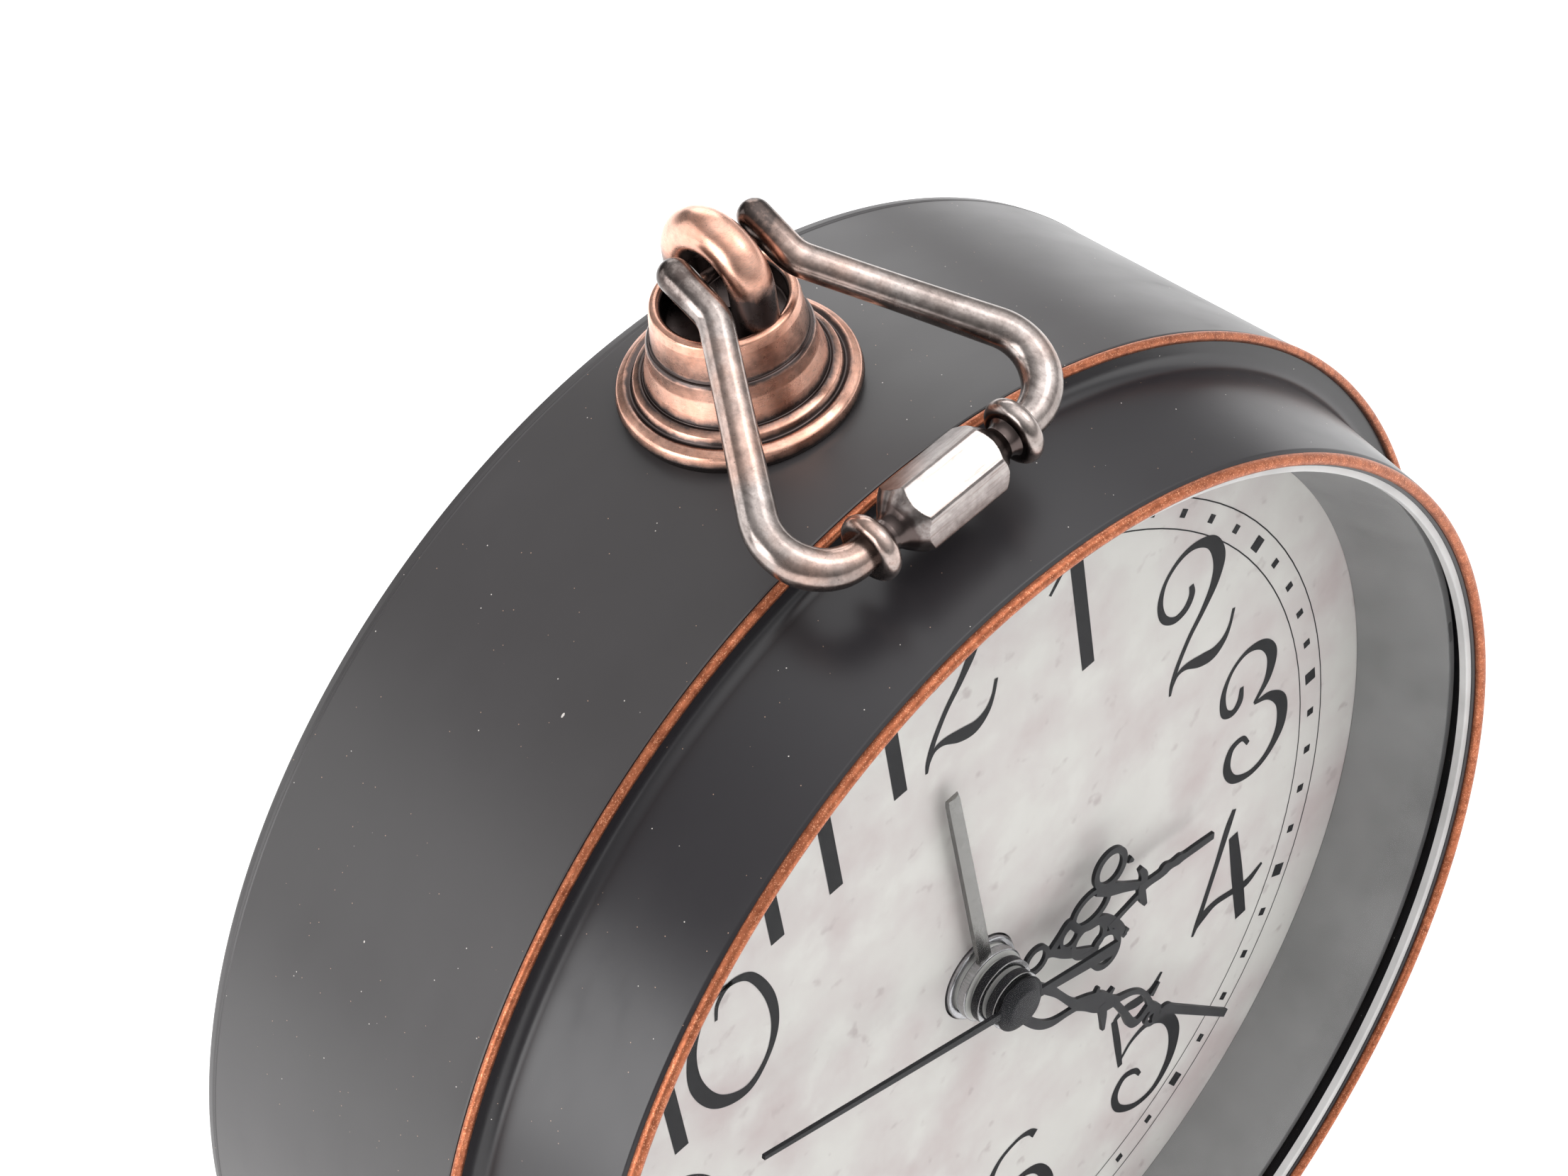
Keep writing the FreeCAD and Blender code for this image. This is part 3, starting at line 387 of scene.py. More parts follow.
def dust(m, base, scale, size, share, colour=(0.62, 0.58, 0.55), stretch=(1.0, 1.0, 1.0)):
    """Sparse fine specks over a colour, (node, output) or plain. A stretch draws them into fibres."""
    coords = node(m, "ShaderNodeTexCoord")
    mapping = node(m, "ShaderNodeMapping")
    mapping.inputs["Scale"].default_value = stretch
    mapping.inputs["Rotation"].default_value = (0.4, 0.3, 0.5)
    cells = node(m, "ShaderNodeTexVoronoi", Scale=scale, Randomness=1.0)
    link(m, coords, "Object", mapping, "Vector")
    link(m, mapping, "Vector", cells, "Vector")
    near = node(m, "ShaderNodeMath", operation="LESS_THAN")
    near.inputs[1].default_value = size
    link(m, cells, "Distance", near, 0)
    split = node(m, "ShaderNodeSeparateColor")
    link(m, cells, "Color", split, "Color")
    some = node(m, "ShaderNodeMath", operation="LESS_THAN")
    some.inputs[1].default_value = share
    link(m, split, "Red", some, 0)
    both = node(m, "ShaderNodeMath", operation="MULTIPLY")
    link(m, near, 0, both, 0)
    link(m, some, 0, both, 1)
    return mix(m, (both, 0), base, colour)


def case_paint(name, low, high, rough):
    """Satin lacquer over sheet steel: faint clouds, an orange-peel skin, smudges and dust."""
    m = material(name, high, rough)
    clouds = noise(m, 45.0, 5.0)
    colour = ramp(m, clouds, "Fac", [(0.3, low), (0.7, high)])
    specks = dust(m, (colour, "Color"), 640.0, 0.032, 0.75)
    fine = dust(m, (specks, 2), 1500.0, 0.06, 0.22, colour=(0.45, 0.30, 0.22))
    fibres = dust(m, (fine, 2), 300.0, 0.030, 0.11, stretch=(0.14, 1.0, 1.0))
    link(m, fibres, 2, shader_of(m), "Base Color")
    smudge = noise(m, 70.0, 3.0, stretch=(1.0, 2.2, 1.0))
    shine = ramp(m, smudge, "Fac", [(0.35, rough - 0.05), (0.62, rough), (0.75, rough + 0.07)])
    link(m, shine, "Color", shader_of(m), "Roughness")
    skin = noise(m, 2600.0, 2.0)
    grit = noise(m, 9000.0, 2.0)
    bump(m, [(skin, "Fac", 0.10, 0.02), (grit, "Fac", 0.10, 0.01)])
    return m


def copper_paint():
    """Metallic paint with fine flakes, laid on by hand, with a painted glint on a few of them."""
    m = material("copper_paint_look", (0.40, 0.13, 0.06), 0.40, 0.85)
    coords = node(m, "ShaderNodeTexCoord")
    flakes = node(m, "ShaderNodeTexVoronoi", Scale=14000.0, Randomness=1.0)
    link(m, coords, "Object", flakes, "Vector")
    split = node(m, "ShaderNodeSeparateColor")
    link(m, flakes, "Color", split, "Color")
    body = ramp(m, noise(m, 1400.0, 5.0, 0.65), "Fac", [(0.32, (0.25, 0.072, 0.033)),
                                                        (0.66, (0.50, 0.165, 0.080))])
    # Painted glint: a few random flakes are painted light copper, as if catching the light.
    glint = ramp(m, split, "Red", [(0.84, 0.0), (0.99, 0.65)])
    colour = mix(m, (glint, "Color"), (body, "Color"), (0.95, 0.46, 0.27))
    link(m, colour, 2, shader_of(m), "Base Color")
    bump(m, [(split, "Green", 0.35, 0.02), (noise(m, 3000.0, 3.0), "Fac", 0.4, 0.04)])
    return m


def patina_and_shade(m, spread_scale, amount):
    """How dark the plating is painted: the mesh's own dark value, broken up by a noise; that value holds tarnish
    and painted shade.
    """
    attribute = node(m, "ShaderNodeAttribute", attribute_name="dark")
    spread = noise(m, spread_scale, 6.0, 0.65)
    add = node(m, "ShaderNodeMath", operation="MULTIPLY_ADD")
    link(m, spread, "Fac", add, 0)
    add.inputs[1].default_value = amount
    link(m, attribute, "Fac", add, 2)
    return ramp(m, add, 0, [(0.42, 0.0), (1.05, 1.0)])


def antique(name, bright, mid, dark, rough, amount, grain=(1.0, 1.0, 6.0), worn=(0.90, 0.52, 0.38),
            wear=0.0):
    """Plated metal: tarnish in the grooves and painted shade where the mesh's dark value marks it, fine brush
    marks, and copper worn through in random patches.
    """
    m = material(name, bright, rough, 1.0)
    tone = ramp(m, noise(m, 260.0, 6.0, 0.62), "Fac", [(0.34, mid), (0.62, bright)])
    hair = noise(m, 2300.0, 5.0, 0.7, stretch=grain)
    streak = ramp(m, hair, "Fac", [(0.50, 0.0), (0.74, 0.62)])
    streaked = mix(m, (streak, "Color"), (tone, "Color"), tuple(2.4 * c for c in dark))
    rubbed = ramp(m, noise(m, 150.0, 4.0, 0.5), "Fac", [(0.49, 0.0), (0.68, wear)])
    coppery = mix(m, (rubbed, "Color"), (streaked, 2), worn)
    # Tarnish and painted shade: darkened toward the dark colour where the mesh's dark value is high, which inside
    # the handle base's cup is painted shade.
    stain = patina_and_shade(m, 900.0, amount)
    colour = mix(m, (stain, "Color"), (coppery, 2), dark)
    pits = noise(m, 5200.0, 3.0, 0.6)
    spots = ramp(m, pits, "Fac", [(0.66, 0.0), (0.74, 0.7)])
    spotted = mix(m, (spots, "Color"), (colour, 2), tuple(0.8 * c for c in dark))
    link(m, spotted, 2, shader_of(m), "Base Color")
    shine = ramp(m, noise(m, 1200.0, 4.0), "Fac", [(0.3, rough - 0.04), (0.7, rough + 0.06)])
    link(m, shine, "Color", shader_of(m), "Roughness")
    bump(m, [(hair, "Fac", 0.14, 0.02), (pits, "Fac", 0.08, 0.02)])
    return m


def barrel_metal():
    """The grip's bare flats, ground along the bar, with copper left in the scratches."""
    m = material("barrel_look", (0.42, 0.38, 0.365), 0.24, 1.0)
    lines = noise(m, 5200.0, 4.0, 0.55, stretch=(0.05, 1.0, 1.0))
    tone = ramp(m, lines, "Fac", [(0.30, (0.34, 0.275, 0.25)), (0.46, (0.43, 0.385, 0.37)),
                                  (0.72, (0.49, 0.45, 0.43))])
    # Painted shade and tarnish: the barrel's dark value darkens the flats turned away from up-and-front, and the
    # ends and necks.
    stain = patina_and_shade(m, 1000.0, 0.80)
    colour = mix(m, (stain, "Color"), (tone, "Color"), (0.105, 0.082, 0.077))
    link(m, colour, 2, shader_of(m), "Base Color")
    bump(m, [(lines, "Fac", 0.10, 0.02), (noise(m, 5200.0, 3.0), "Fac", 0.06, 0.02)])
    return m


def dial_card():
    """Printed card: warm white with soft pink clouds, pale veins and a few small mauve stains."""
    m = material("dial_card_look", (0.74, 0.70, 0.67), 0.62)
    wide = noise(m, 95.0, 5.0, 0.55)
    tint = ramp(m, wide, "Fac", [(0.32, (0.63, 0.555, 0.545)), (0.47, (0.70, 0.66, 0.64)),
                                 (0.60, (0.745, 0.73, 0.695))])
    small = noise(m, 420.0, 3.0, 0.5)
    stain = ramp(m, small, "Fac", [(0.63, 0.0), (0.74, 0.55)])
    colour = mix(m, (stain, "Color"), (tint, "Color"), (0.44, 0.37, 0.37))
    pale = ramp(m, noise(m, 190.0, 5.0), "Fac", [(0.56, 0.0), (0.72, 0.5)])
    lit = mix(m, (pale, "Color"), (colour, 2), (0.80, 0.785, 0.75))
    link(m, lit, 2, shader_of(m), "Base Color")
    bump(m, [(noise(m, 2500.0, 3.0), "Fac", 0.08, 0.03)])
    return m


def print_ink():
    """Matt black print, slightly broken where the card's grain shows through."""
    m = material("print_ink_look", (0.022, 0.022, 0.025), 0.55, Specular_IOR_Level=0.2)
    worn = ramp(m, noise(m, 5200.0, 4.0, 0.7), "Fac", [(0.60, (0.012, 0.012, 0.014)),
                                                       (0.82, (0.12, 0.11, 0.11))])
    link(m, worn, "Color", shader_of(m), "Base Color")
    return m


def moulded(name, colour, rough, grain=3500.0, strength=0.12, **kw):
    """Moulded plastic with a fine spark-eroded grain."""
    m = material(name, colour, rough, **kw)
    tone = ramp(m, noise(m, 120.0, 4.0), "Fac", [(0.3, tuple(0.82 * c for c in colour)),
                                                 (0.7, tuple(min(1.0, 1.12 * c) for c in colour))])
    link(m, tone, "Color", shader_of(m), "Base Color")
    shine = ramp(m, noise(m, 420.0, 3.0), "Fac", [(0.3, rough - 0.05), (0.7, rough + 0.06)])
    link(m, shine, "Color", shader_of(m), "Roughness")
    bump(m, [(noise(m, grain, 3.0), "Fac", strength, 0.04)])
    return m


def brushed(name, colour, rough, stretch=(1.0, 1.0, 14.0), strength=0.2):
    """Metal with fine parallel brush marks."""
    m = material(name, colour, rough, 1.0)
    lines = noise(m, 1500.0, 4.0, 0.6, stretch=stretch)
    tone = ramp(m, lines, "Fac", [(0.3, tuple(0.72 * c for c in colour)),
                                  (0.7, tuple(min(1.0, 1.1 * c) for c in colour))])
    link(m, tone, "Color", shader_of(m), "Base Color")
    bump(m, [(lines, "Fac", strength, 0.03)])
    return m


def clear_glass():
    """A clear lens with a faint haze on its polish."""
    m = material("lens_glass_look", (0.02, 0.02, 0.02), 0.03, 0.0)
    s = shader_of(m)
    s.inputs["Alpha"].default_value = 0.05
    s.inputs["IOR"].default_value = 1.45
    s.inputs["Specular IOR Level"].default_value = 0.12
    haze = ramp(m, noise(m, 60.0, 3.0), "Fac", [(0.3, 0.02), (0.8, 0.05)])
    link(m, haze, "Color", s, "Roughness")
    return m


LOOKS = {
    "case_paint": case_paint("case_paint_look", (0.046, 0.043, 0.044), (0.054, 0.050, 0.052), 0.36),
    "bezel_paint": case_paint("bezel_paint_look", (0.019, 0.017, 0.020), (0.024, 0.022, 0.025), 0.33),
    "copper_paint": copper_paint(),
    "antique_copper": antique("antique_copper_look", (0.95, 0.56, 0.43), (0.70, 0.35, 0.245),
                              (0.100, 0.078, 0.074), 0.28, 0.82, (1.0, 1.0, 11.0)),
    "antique_pewter": antique("antique_pewter_look", (0.61, 0.54, 0.51), (0.38, 0.32, 0.295),
                              (0.085, 0.068, 0.063), 0.23, 0.76, (1.0, 0.35, 1.0), (0.80, 0.49, 0.38),
                              0.55),
    "dial_card": dial_card(),
    "lens_glass": clear_glass(),
    "gasket_grey": moulded("gasket_grey_look", (0.60, 0.595, 0.59), 0.45, strength=0.06),
    "surround_grey": moulded("surround_grey_look", (0.27, 0.27, 0.27), 0.5, strength=0.05),
    "silver_paint": brushed("silver_paint_look", (0.44, 0.44, 0.45), 0.26, (1.0, 1.0, 8.0), 0.1),
    "hand_black": moulded("hand_black_look", (0.009, 0.009, 0.012), 0.42, 2200.0, 0.05,
                          Specular_IOR_Level=0.22),
    "white_plastic": moulded("white_plastic_look", (0.72, 0.72, 0.69), 0.42),
    "black_plastic": moulded("black_plastic_look", (0.022, 0.022, 0.024), 0.5),
    "cover_plastic": moulded("cover_plastic_look", (0.026, 0.026, 0.028), 0.52, 2600.0, 0.30),
    "knob_plastic": moulded("knob_plastic_look", (0.035, 0.035, 0.037), 0.38, 3000.0, 0.10),
    "coil_copper": brushed("coil_copper_look", (0.62, 0.24, 0.10), 0.3, (30.0, 1.0, 1.0), 0.5),
    "board_green": moulded("board_green_look", (0.03, 0.16, 0.07), 0.35),
    "bright_steel": brushed("bright_steel_look", (0.50, 0.50, 0.52), 0.22),
    "dark_steel": brushed("dark_steel_look", (0.10, 0.10, 0.105), 0.35),
    "cell_jacket": moulded("cell_jacket_look", (0.10, 0.12, 0.15), 0.30, 1500.0, 0.04),
    "rubber": moulded("rubber_look", (0.020, 0.020, 0.020), 0.72, 2600.0, 0.25),
}
SLOT_OF = {p["node"]: p["material_slot"] for p in frame["record"]["subparts"]}
for name, obj in frame["nodes"].items():
    for slot in obj.material_slots:
        slot.material = LOOKS[SLOT_OF[name]]


def look(piece, name):
    """Gives a piece one of the looks, the one kept under a slot name of the record."""
    return give(piece, LOOKS[name])


# ---- Case, bezel and rings ----
SEAM_Y = CASE_DEPTH - 1.0
shell = lathe("case_shell_skin", rounded_loop([
    (CASE_R - 0.05, OUTER_BEAD_R), (CASE_R, OUTER_BEAD_R + 0.12, 0.05), (CASE_R, SEAM_Y - 0.2, 0.1),
    (CASE_R + 0.05, SEAM_Y - 0.08, 0.04), (CASE_R - 0.08, SEAM_Y + 0.06, 0.05),
    (CASE_R - 0.04, SEAM_Y + 0.3, 0.2), (CASE_R - 0.1, CASE_DEPTH, 0.55), (54.5, CASE_DEPTH, 0.3),
    (54.5, 26.8), (56.7, 26.8), (56.7, OUTER_BEAD_R)], 8),
    "case", replaces=["case_shell"], segments=360)
look(shell, "case_paint")

bezel = lathe("front_bezel_skin", rounded_loop([
    (56.95, 0.12), (54.75, 0.12, 1.7), (54.3, -2.3, 1.4), (52.72, -10.95, 0.3), (52.4, -11.25),
    (51.6, -11.25, 0.1), (51.35, -11.15, 0.1), (51.35, -10.65), (51.8, -10.65), (52.2, -10.2), (53.7, -2.3),
    (53.7, 0.7), (56.95, 0.7)], 12),
    "case", replaces=["front_bezel"], segments=360)
look(bezel, "bezel_paint")


def bead_loop(radius, height, steps=28):
    """A round bead's outline, from its place and its own radius, and its height."""
    return [(radius[0] + radius[1] * math.cos(2 * math.pi * k / steps),
             height + radius[1] * math.sin(2 * math.pi * k / steps)) for k in range(steps)]


outer = lathe("outer_ring_skin", bead_loop((OUTER_BEAD_AT, OUTER_BEAD_R), 0.0), "case",
              replaces=["outer_ring"], segments=720)
look(outer, "copper_paint")
inner = lathe("inner_ring_skin", bead_loop((INNER_BEAD_AT, INNER_BEAD_R), INNER_BEAD_Y), "case",
              replaces=["inner_ring"], segments=720)
look(inner, "copper_paint")

gasket = lathe("lens_gasket_skin", rounded_loop([
    (51.6, -11.05), (50.75, -11.0, 0.15), (50.7, LENS_FRONT), (51.6, LENS_FRONT)]), "case",
    replaces=["lens_gasket"])
look(gasket, "gasket_grey")
glass = lathe("lens_skin", [(0.0, LENS_FRONT), (LENS_R, LENS_FRONT), (LENS_R, LENS_BACK), (0.0, LENS_BACK)],
              "case", replaces=["lens"])
look(glass, "lens_glass")
surround = lathe("dial_surround_skin", rounded_loop([
    (48.6, DIAL_Y, 0.1), (50.9, LENS_BACK, 0.2), (51.6, LENS_BACK), (52.4, -3.0), (51.8, DIAL_Y)]), "case",
    replaces=["dial_surround"])
look(surround, "surround_grey")
dial = lathe("dial_skin", [(DIAL_BORE_R, DIAL_Y), (DIAL_R, DIAL_Y), (DIAL_R, -0.1), (DIAL_BORE_R, -0.1)],
             "case", replaces=["dial"])
look(dial, "dial_card")

# ---- Print on the dial: numerals and minute track ----
TWO = [[(28.5, 23.0, 0.55), (28.45, 21.9, 0.8), (27.6, 20.9, 0.85), (26.2, 20.75, 0.75), (25.0, 21.9, 0.8),
        (24.75, 23.8, 0.7), (25.6, 25.7, 0.5), (27.4, 26.85, 0.55), (29.4, 26.9, 0.75), (31.3, 25.7, 1.3),
        (32.0, 23.4, 1.55), (31.3, 21.2, 1.15), (29.7, 19.2, 0.75), (27.8, 17.4, 0.6), (26.2, 15.4, 0.6),
        (25.3, 13.8, 0.55), (24.9, 12.6, 0.3)],
       [(25.2, 13.4, 0.3), (26.0, 14.3, 0.45), (27.2, 14.35, 0.75), (28.9, 13.6, 1.35), (30.4, 13.2, 1.3),
        (31.8, 13.7, 0.8), (32.7, 14.8, 0.45), (33.3, 16.3, 0.4)]]


def shifted(strokes, dx, dz):
    """The same strokes, moved in the dial's plane."""
    return [[(x + dx, z + dz, w) for x, z, w in s] for s in strokes]


def one(x, low):
    """A numeral 1 with its slanted foot and small flag."""
    return [[(x, low + 0.15, 1.45), (x, low + 14.3, 1.5)],
            [(x + 0.3, low + 14.2, 0.9), (x - 1.3, low + 12.6, 0.5), (x - 3.2, low + 10.9, 0.35)]]


SIX = [[(3.5, -26.0, 0.9), (2.8, -25.1, 0.7), (1.2, -24.7, 0.5), (-1.2, -25.4, 0.6), (-3.2, -28.0, 1.05),
        (-4.1, -31.8, 1.45), (-3.5, -35.6, 1.2), (-1.6, -38.2, 0.75), (0.8, -38.8, 0.65), (3.2, -37.1, 0.9),
        (4.2, -34.0, 1.35), (3.2, -31.0, 1.1), (1.0, -29.9, 0.65), (-1.4, -30.6, 0.5),
        (-3.2, -32.6, 0.4)]]
NUMERALS = {
    "12": one(-4.95, 27.3) + shifted(TWO, -27.0, 14.75),
    "1": one(16.1, 23.8),
    "2": TWO,
    "3": [[(33.6, 6.2, 0.5), (33.2, 4.7, 0.85), (32.2, 4.1, 0.8), (31.2, 5.0, 0.9), (31.3, 7.2, 0.7),
           (32.6, 9.1, 0.5), (34.6, 9.8, 0.6), (36.6, 9.0, 1.1), (37.6, 7.0, 1.35), (36.9, 4.6, 0.95),
           (35.0, 2.9, 0.4)],
          [(35.0, 2.9, 0.35), (37.0, 2.2, 0.9), (38.4, 0.2, 1.4), (38.1, -2.6, 1.3), (36.3, -4.6, 0.85),
           (34.0, -5.2, 0.75), (31.8, -4.2, 0.9), (31.0, -2.2, 1.0), (31.7, -0.3, 0.85), (33.2, -0.1, 0.6),
           (33.9, -1.3, 0.45)]],
    "4": [[(31.6, -8.0, 0.6), (30.6, -9.6, 0.9), (28.9, -12.8, 0.75), (27.0, -16.2, 0.7),
           (25.7, -18.4, 0.7), (25.0, -19.5, 0.35)],
          [(25.4, -18.9, 0.4), (26.5, -18.1, 1.1), (28.2, -17.8, 0.85), (30.2, -18.3, 0.8),
           (32.4, -18.9, 0.95), (34.6, -18.2, 0.4)],
          [(31.2, -11.2, 1.2), (31.3, -16.5, 1.5), (31.35, -22.5, 1.4)]],
    "5": [[(14.4, -20.9, 0.75), (14.5, -24.5, 0.85), (14.5, -27.7, 0.6)],
          [(14.4, -21.0, 0.5), (15.8, -20.7, 0.9), (17.6, -21.3, 1.2), (19.3, -21.4, 0.9),
           (20.8, -20.3, 0.4)],
          [(14.6, -26.9, 0.35), (16.3, -25.7, 0.5), (18.6, -25.5, 0.8), (20.8, -27.0, 1.3),
           (21.6, -29.8, 1.5), (20.7, -32.8, 1.15), (18.4, -34.9, 0.75), (15.8, -34.9, 0.7),
           (13.7, -33.2, 0.85), (13.4, -31.1, 0.9), (14.7, -29.7, 0.8), (16.2, -30.2, 0.65),
           (16.8, -31.3, 0.45)]],
    "6": SIX,
    "7": [[(-21.8, -24.2, 0.35), (-21.0, -22.7, 0.8), (-19.2, -22.4, 1.2), (-17.2, -23.1, 1.0),
           (-15.2, -23.0, 0.7), (-13.6, -21.8, 0.35)],
          [(-13.7, -22.0, 0.4), (-15.6, -25.4, 0.6), (-17.6, -29.4, 0.95), (-18.6, -33.2, 1.35),
           (-18.7, -36.2, 1.45)]],
    "8": [[(-27.3, -10.6, 0.5), (-29.3, -9.2, 0.55), (-31.7, -10.6, 1.0), (-31.4, -13.4, 1.25),
           (-28.9, -15.9, 1.35), (-26.7, -18.7, 1.2), (-27.4, -21.8, 0.85), (-29.9, -23.3, 0.6),
           (-32.7, -21.8, 0.9), (-32.9, -18.9, 0.8), (-30.6, -16.3, 0.5), (-28.0, -14.1, 0.55),
           (-26.9, -12.0, 0.65), (-28.2, -9.8, 0.5)]],
    "9": [[(-34.0 - x, -31.3 - z, w) for x, z, w in SIX[0]]],
    "10": one(-32.0, 10.4) + [[
        (-26.2, 20.8, 0.3), (-25.7, 22.4, 0.45), (-24.2, 23.35, 0.6), (-22.2, 22.2, 0.85),
        (-20.9, 18.6, 1.0), (-21.0, 15.0, 0.85), (-22.5, 12.2, 0.6), (-25.0, 10.75, 0.95),
        (-27.8, 12.2, 1.3), (-29.3, 15.6, 1.35), (-29.1, 19.2, 1.0), (-27.6, 22.0, 0.65),
        (-25.4, 23.4, 0.45), (-24.0, 23.3, 0.5)]],
    "11": one(-19.05, 23.4) + one(-12.7, 23.4),
}
ink = bmesh.new()
for strokes in NUMERALS.values():
    ribbon(ink, strokes, DIAL_Y - 0.02, 0)
for radius in TRACK_RING_RS:
    circle = [(radius * math.sin(math.radians(3 * k)), radius * math.cos(math.radians(3 * k)),
               TRACK_RING_WIDTH) for k in range(121)]
    ribbon(ink, [circle], DIAL_Y - 0.012, 0, smooth=False)
for k in range(60):
    half = TRACK_HOUR_HALF if k % 5 == 0 else TRACK_MINUTE_HALF
    mark = [(0.0, TRACK_MARK_R - half, 2 * half), (0.0, TRACK_MARK_R + half, 2 * half)]
    ribbon(ink, [mark], DIAL_Y - 0.016, 0, turn=6.0 * k, smooth=False)
numerals = finish_mesh("dial_print", ink, "case", smooth=False)
give(numerals, print_ink())

# ---- Hands ----
ALARM_ANGLE, HOUR_ANGLE, MINUTE_ANGLE, SECOND_ANGLE = -2.0, 101.5, 138.0, 288.0


def boss(name, radius, bore, y0, y1, body, look_name, edge=0.12, replaces=()):
    """A turned ring on the dial's axis, with softened edges."""
    outline = rounded_loop([(radius, y1, edge), (radius, y0, edge), (bore, y0, 0.03), (bore, y1, 0.03)], 5)
    made = lathe(name, outline, body, segments=96, replaces=list(replaces))
    return look(made, look_name)


def circle_rows(x, z, rx, rz, width, lean=0.0, count=16):
    """A closed oval stroke about (x, z), leaning by an angle in degrees."""
    rows = []
    for k in range(count + 1):
        a = math.radians(360.0 * k / count)
        dx, dz = rx * math.cos(a), rz * math.sin(a)
        b = math.radians(lean)
        across, up = dx * math.cos(b) - dz * math.sin(b), dx * math.sin(b) + dz * math.cos(b)
        rows.append((x + across, z + up, width))
    return rows


HOUR_STROKES = [
    circle_rows(-0.3, 4.5, 1.25, 1.3, 0.5),
    [(-0.2, 5.6, 0.9), (0.2, 6.6, 0.8), (1.2, 8.0, 0.95), (2.2, 9.6, 0.85), (3.0, 11.4, 0.6),
     (3.6, 12.4, 0.5)],
    [(0.0, 6.2, 0.8), (-1.0, 7.4, 0.8), (-1.9, 8.5, 0.7), (-0.6, 9.5, 0.7), (0.1, 11.0, 0.75),
     (0.3, 12.6, 0.9), (1.6, 14.2, 0.95), (3.0, 15.3, 0.8), (4.3, 15.9, 0.5)],
    circle_rows(-0.3, 8.6, 1.15, 1.1, 0.4),
    circle_rows(-1.95, 11.1, 1.6, 2.2, 0.55, 12),
    circle_rows(1.6, 11.1, 1.65, 2.0, 0.6, -10),
    circle_rows(-5.1, 13.2, 1.8, 1.75, 0.65),
    circle_rows(4.3, 13.4, 1.95, 1.65, 0.55, 20),
    [(-3.3, 11.6, 0.6), (-2.6, 13.4, 1.3), (-1.6, 15.4, 0.95), (-0.7, 17.2, 0.8)],
    [(2.0, 13.6, 0.9), (1.3, 15.2, 0.55), (0.6, 17.2, 0.6)],
    [(-2.6, 17.2, 0.5), (-1.4, 17.8, 0.85), (0.0, 17.6, 0.95), (1.3, 17.9, 0.8), (2.2, 18.3, 0.4)],
    [(-4.6, 15.6, 0.7), (-4.2, 16.1, 0.25)],
    [(3.6, 15.8, 0.8), (3.8, 16.3, 0.25)],
    [(-0.1, 17.2, 1.3), (-0.2, 18.6, 0.9), (-0.2, 20.0, 0.95), (-0.4, 20.6, 1.3), (-0.4, 21.4, 0.85),
     (-0.4, 22.4, 1.1), (-0.35, 23.0, 0.8), (-0.35, 24.6, 0.8), (-0.35, 26.9, 0.72)],
]
MINUTE_STROKES = [
    [(-1.2, 2.2, 0.9), (-0.9, 5.6, 0.9), (-0.6, 7.2, 0.75), (0.0, 9.6, 0.8), (0.2, 11.0, 1.1)],
    [(1.6, 2.4, 0.9), (2.3, 6.0, 0.9), (2.1, 8.2, 0.8), (1.1, 10.0, 0.6), (0.3, 11.2, 0.8)],
    [(0.2, 10.6, 1.2), (-0.1, 12.4, 1.7), (-0.2, 14.2, 2.1), (-0.2, 15.8, 1.6), (-0.5, 17.0, 0.9)],
    [(-1.6, 12.9, 0.3), (-0.6, 13.2, 0.9)], [(-1.7, 15.4, 0.3), (-0.6, 15.2, 0.9)],
    [(0.0, 14.8, 0.9), (1.0, 16.0, 0.8), (2.4, 17.2, 0.3)],
    [(-0.4, 16.6, 0.8), (-1.4, 19.0, 0.55), (-1.35, 21.0, 0.55), (-0.3, 23.1, 0.7)],
    [(-0.3, 16.8, 0.7), (0.6, 19.2, 0.7), (1.5, 21.2, 0.95), (1.3, 22.3, 0.8), (-0.2, 22.9, 0.8)],
    [(-2.6, 22.4, 0.3), (-1.2, 22.3, 0.6)],
    [(-0.2, 22.8, 1.0), (0.0, 24.4, 1.0), (0.8, 25.0, 1.1), (-0.1, 26.0, 1.1), (-0.1, 27.2, 0.95),
     (-0.1, 30.0, 0.9), (-0.1, 36.9, 0.8)],
    circle_rows(0.9, 24.3, 0.7, 0.8, 0.4),
]
hour_bm = bmesh.new()
ribbon(hour_bm, HOUR_STROKES, HOUR_HAND_Y, HAND_SHEET, 0.003, HOUR_ANGLE)
hour = finish_mesh("hour_hand_openwork", hour_bm, "hour", replaces=["hour_hand"], smooth=False)
look(hour, "hand_black")
minute_bm = bmesh.new()
ribbon(minute_bm, MINUTE_STROKES, MINUTE_HAND_Y, HAND_SHEET, 0.003, MINUTE_ANGLE)
minute = finish_mesh("minute_hand_openwork", minute_bm, "minute", replaces=["minute_hand"], smooth=False)
look(minute, "hand_black")
boss("hour_boss", 3.1, 2.55, -3.35, -2.5, "hour", "hand_black")
boss("hour_bush", 2.98, 2.3, -2.56, -2.46, "hour", "silver_paint", 0.02)
boss("hour_boss_rim", 3.12, 2.72, -3.41, -3.3, "hour", "silver_paint", 0.03)
boss("minute_boss", 2.65, 1.7, -4.6, -3.75, "minute", "hand_black")
boss("minute_boss_rim", 2.68, 2.3, -4.66, -4.55, "minute", "silver_paint", 0.03)
boss("alarm_boss", 3.45, 2.9, -2.12, -1.3, "alarm", "silver_paint", 0.1)
boss("center_collar", 3.95, 3.42, -1.0, -0.3, "case", "bright_steel", 0.18, replaces=["center_washer"])

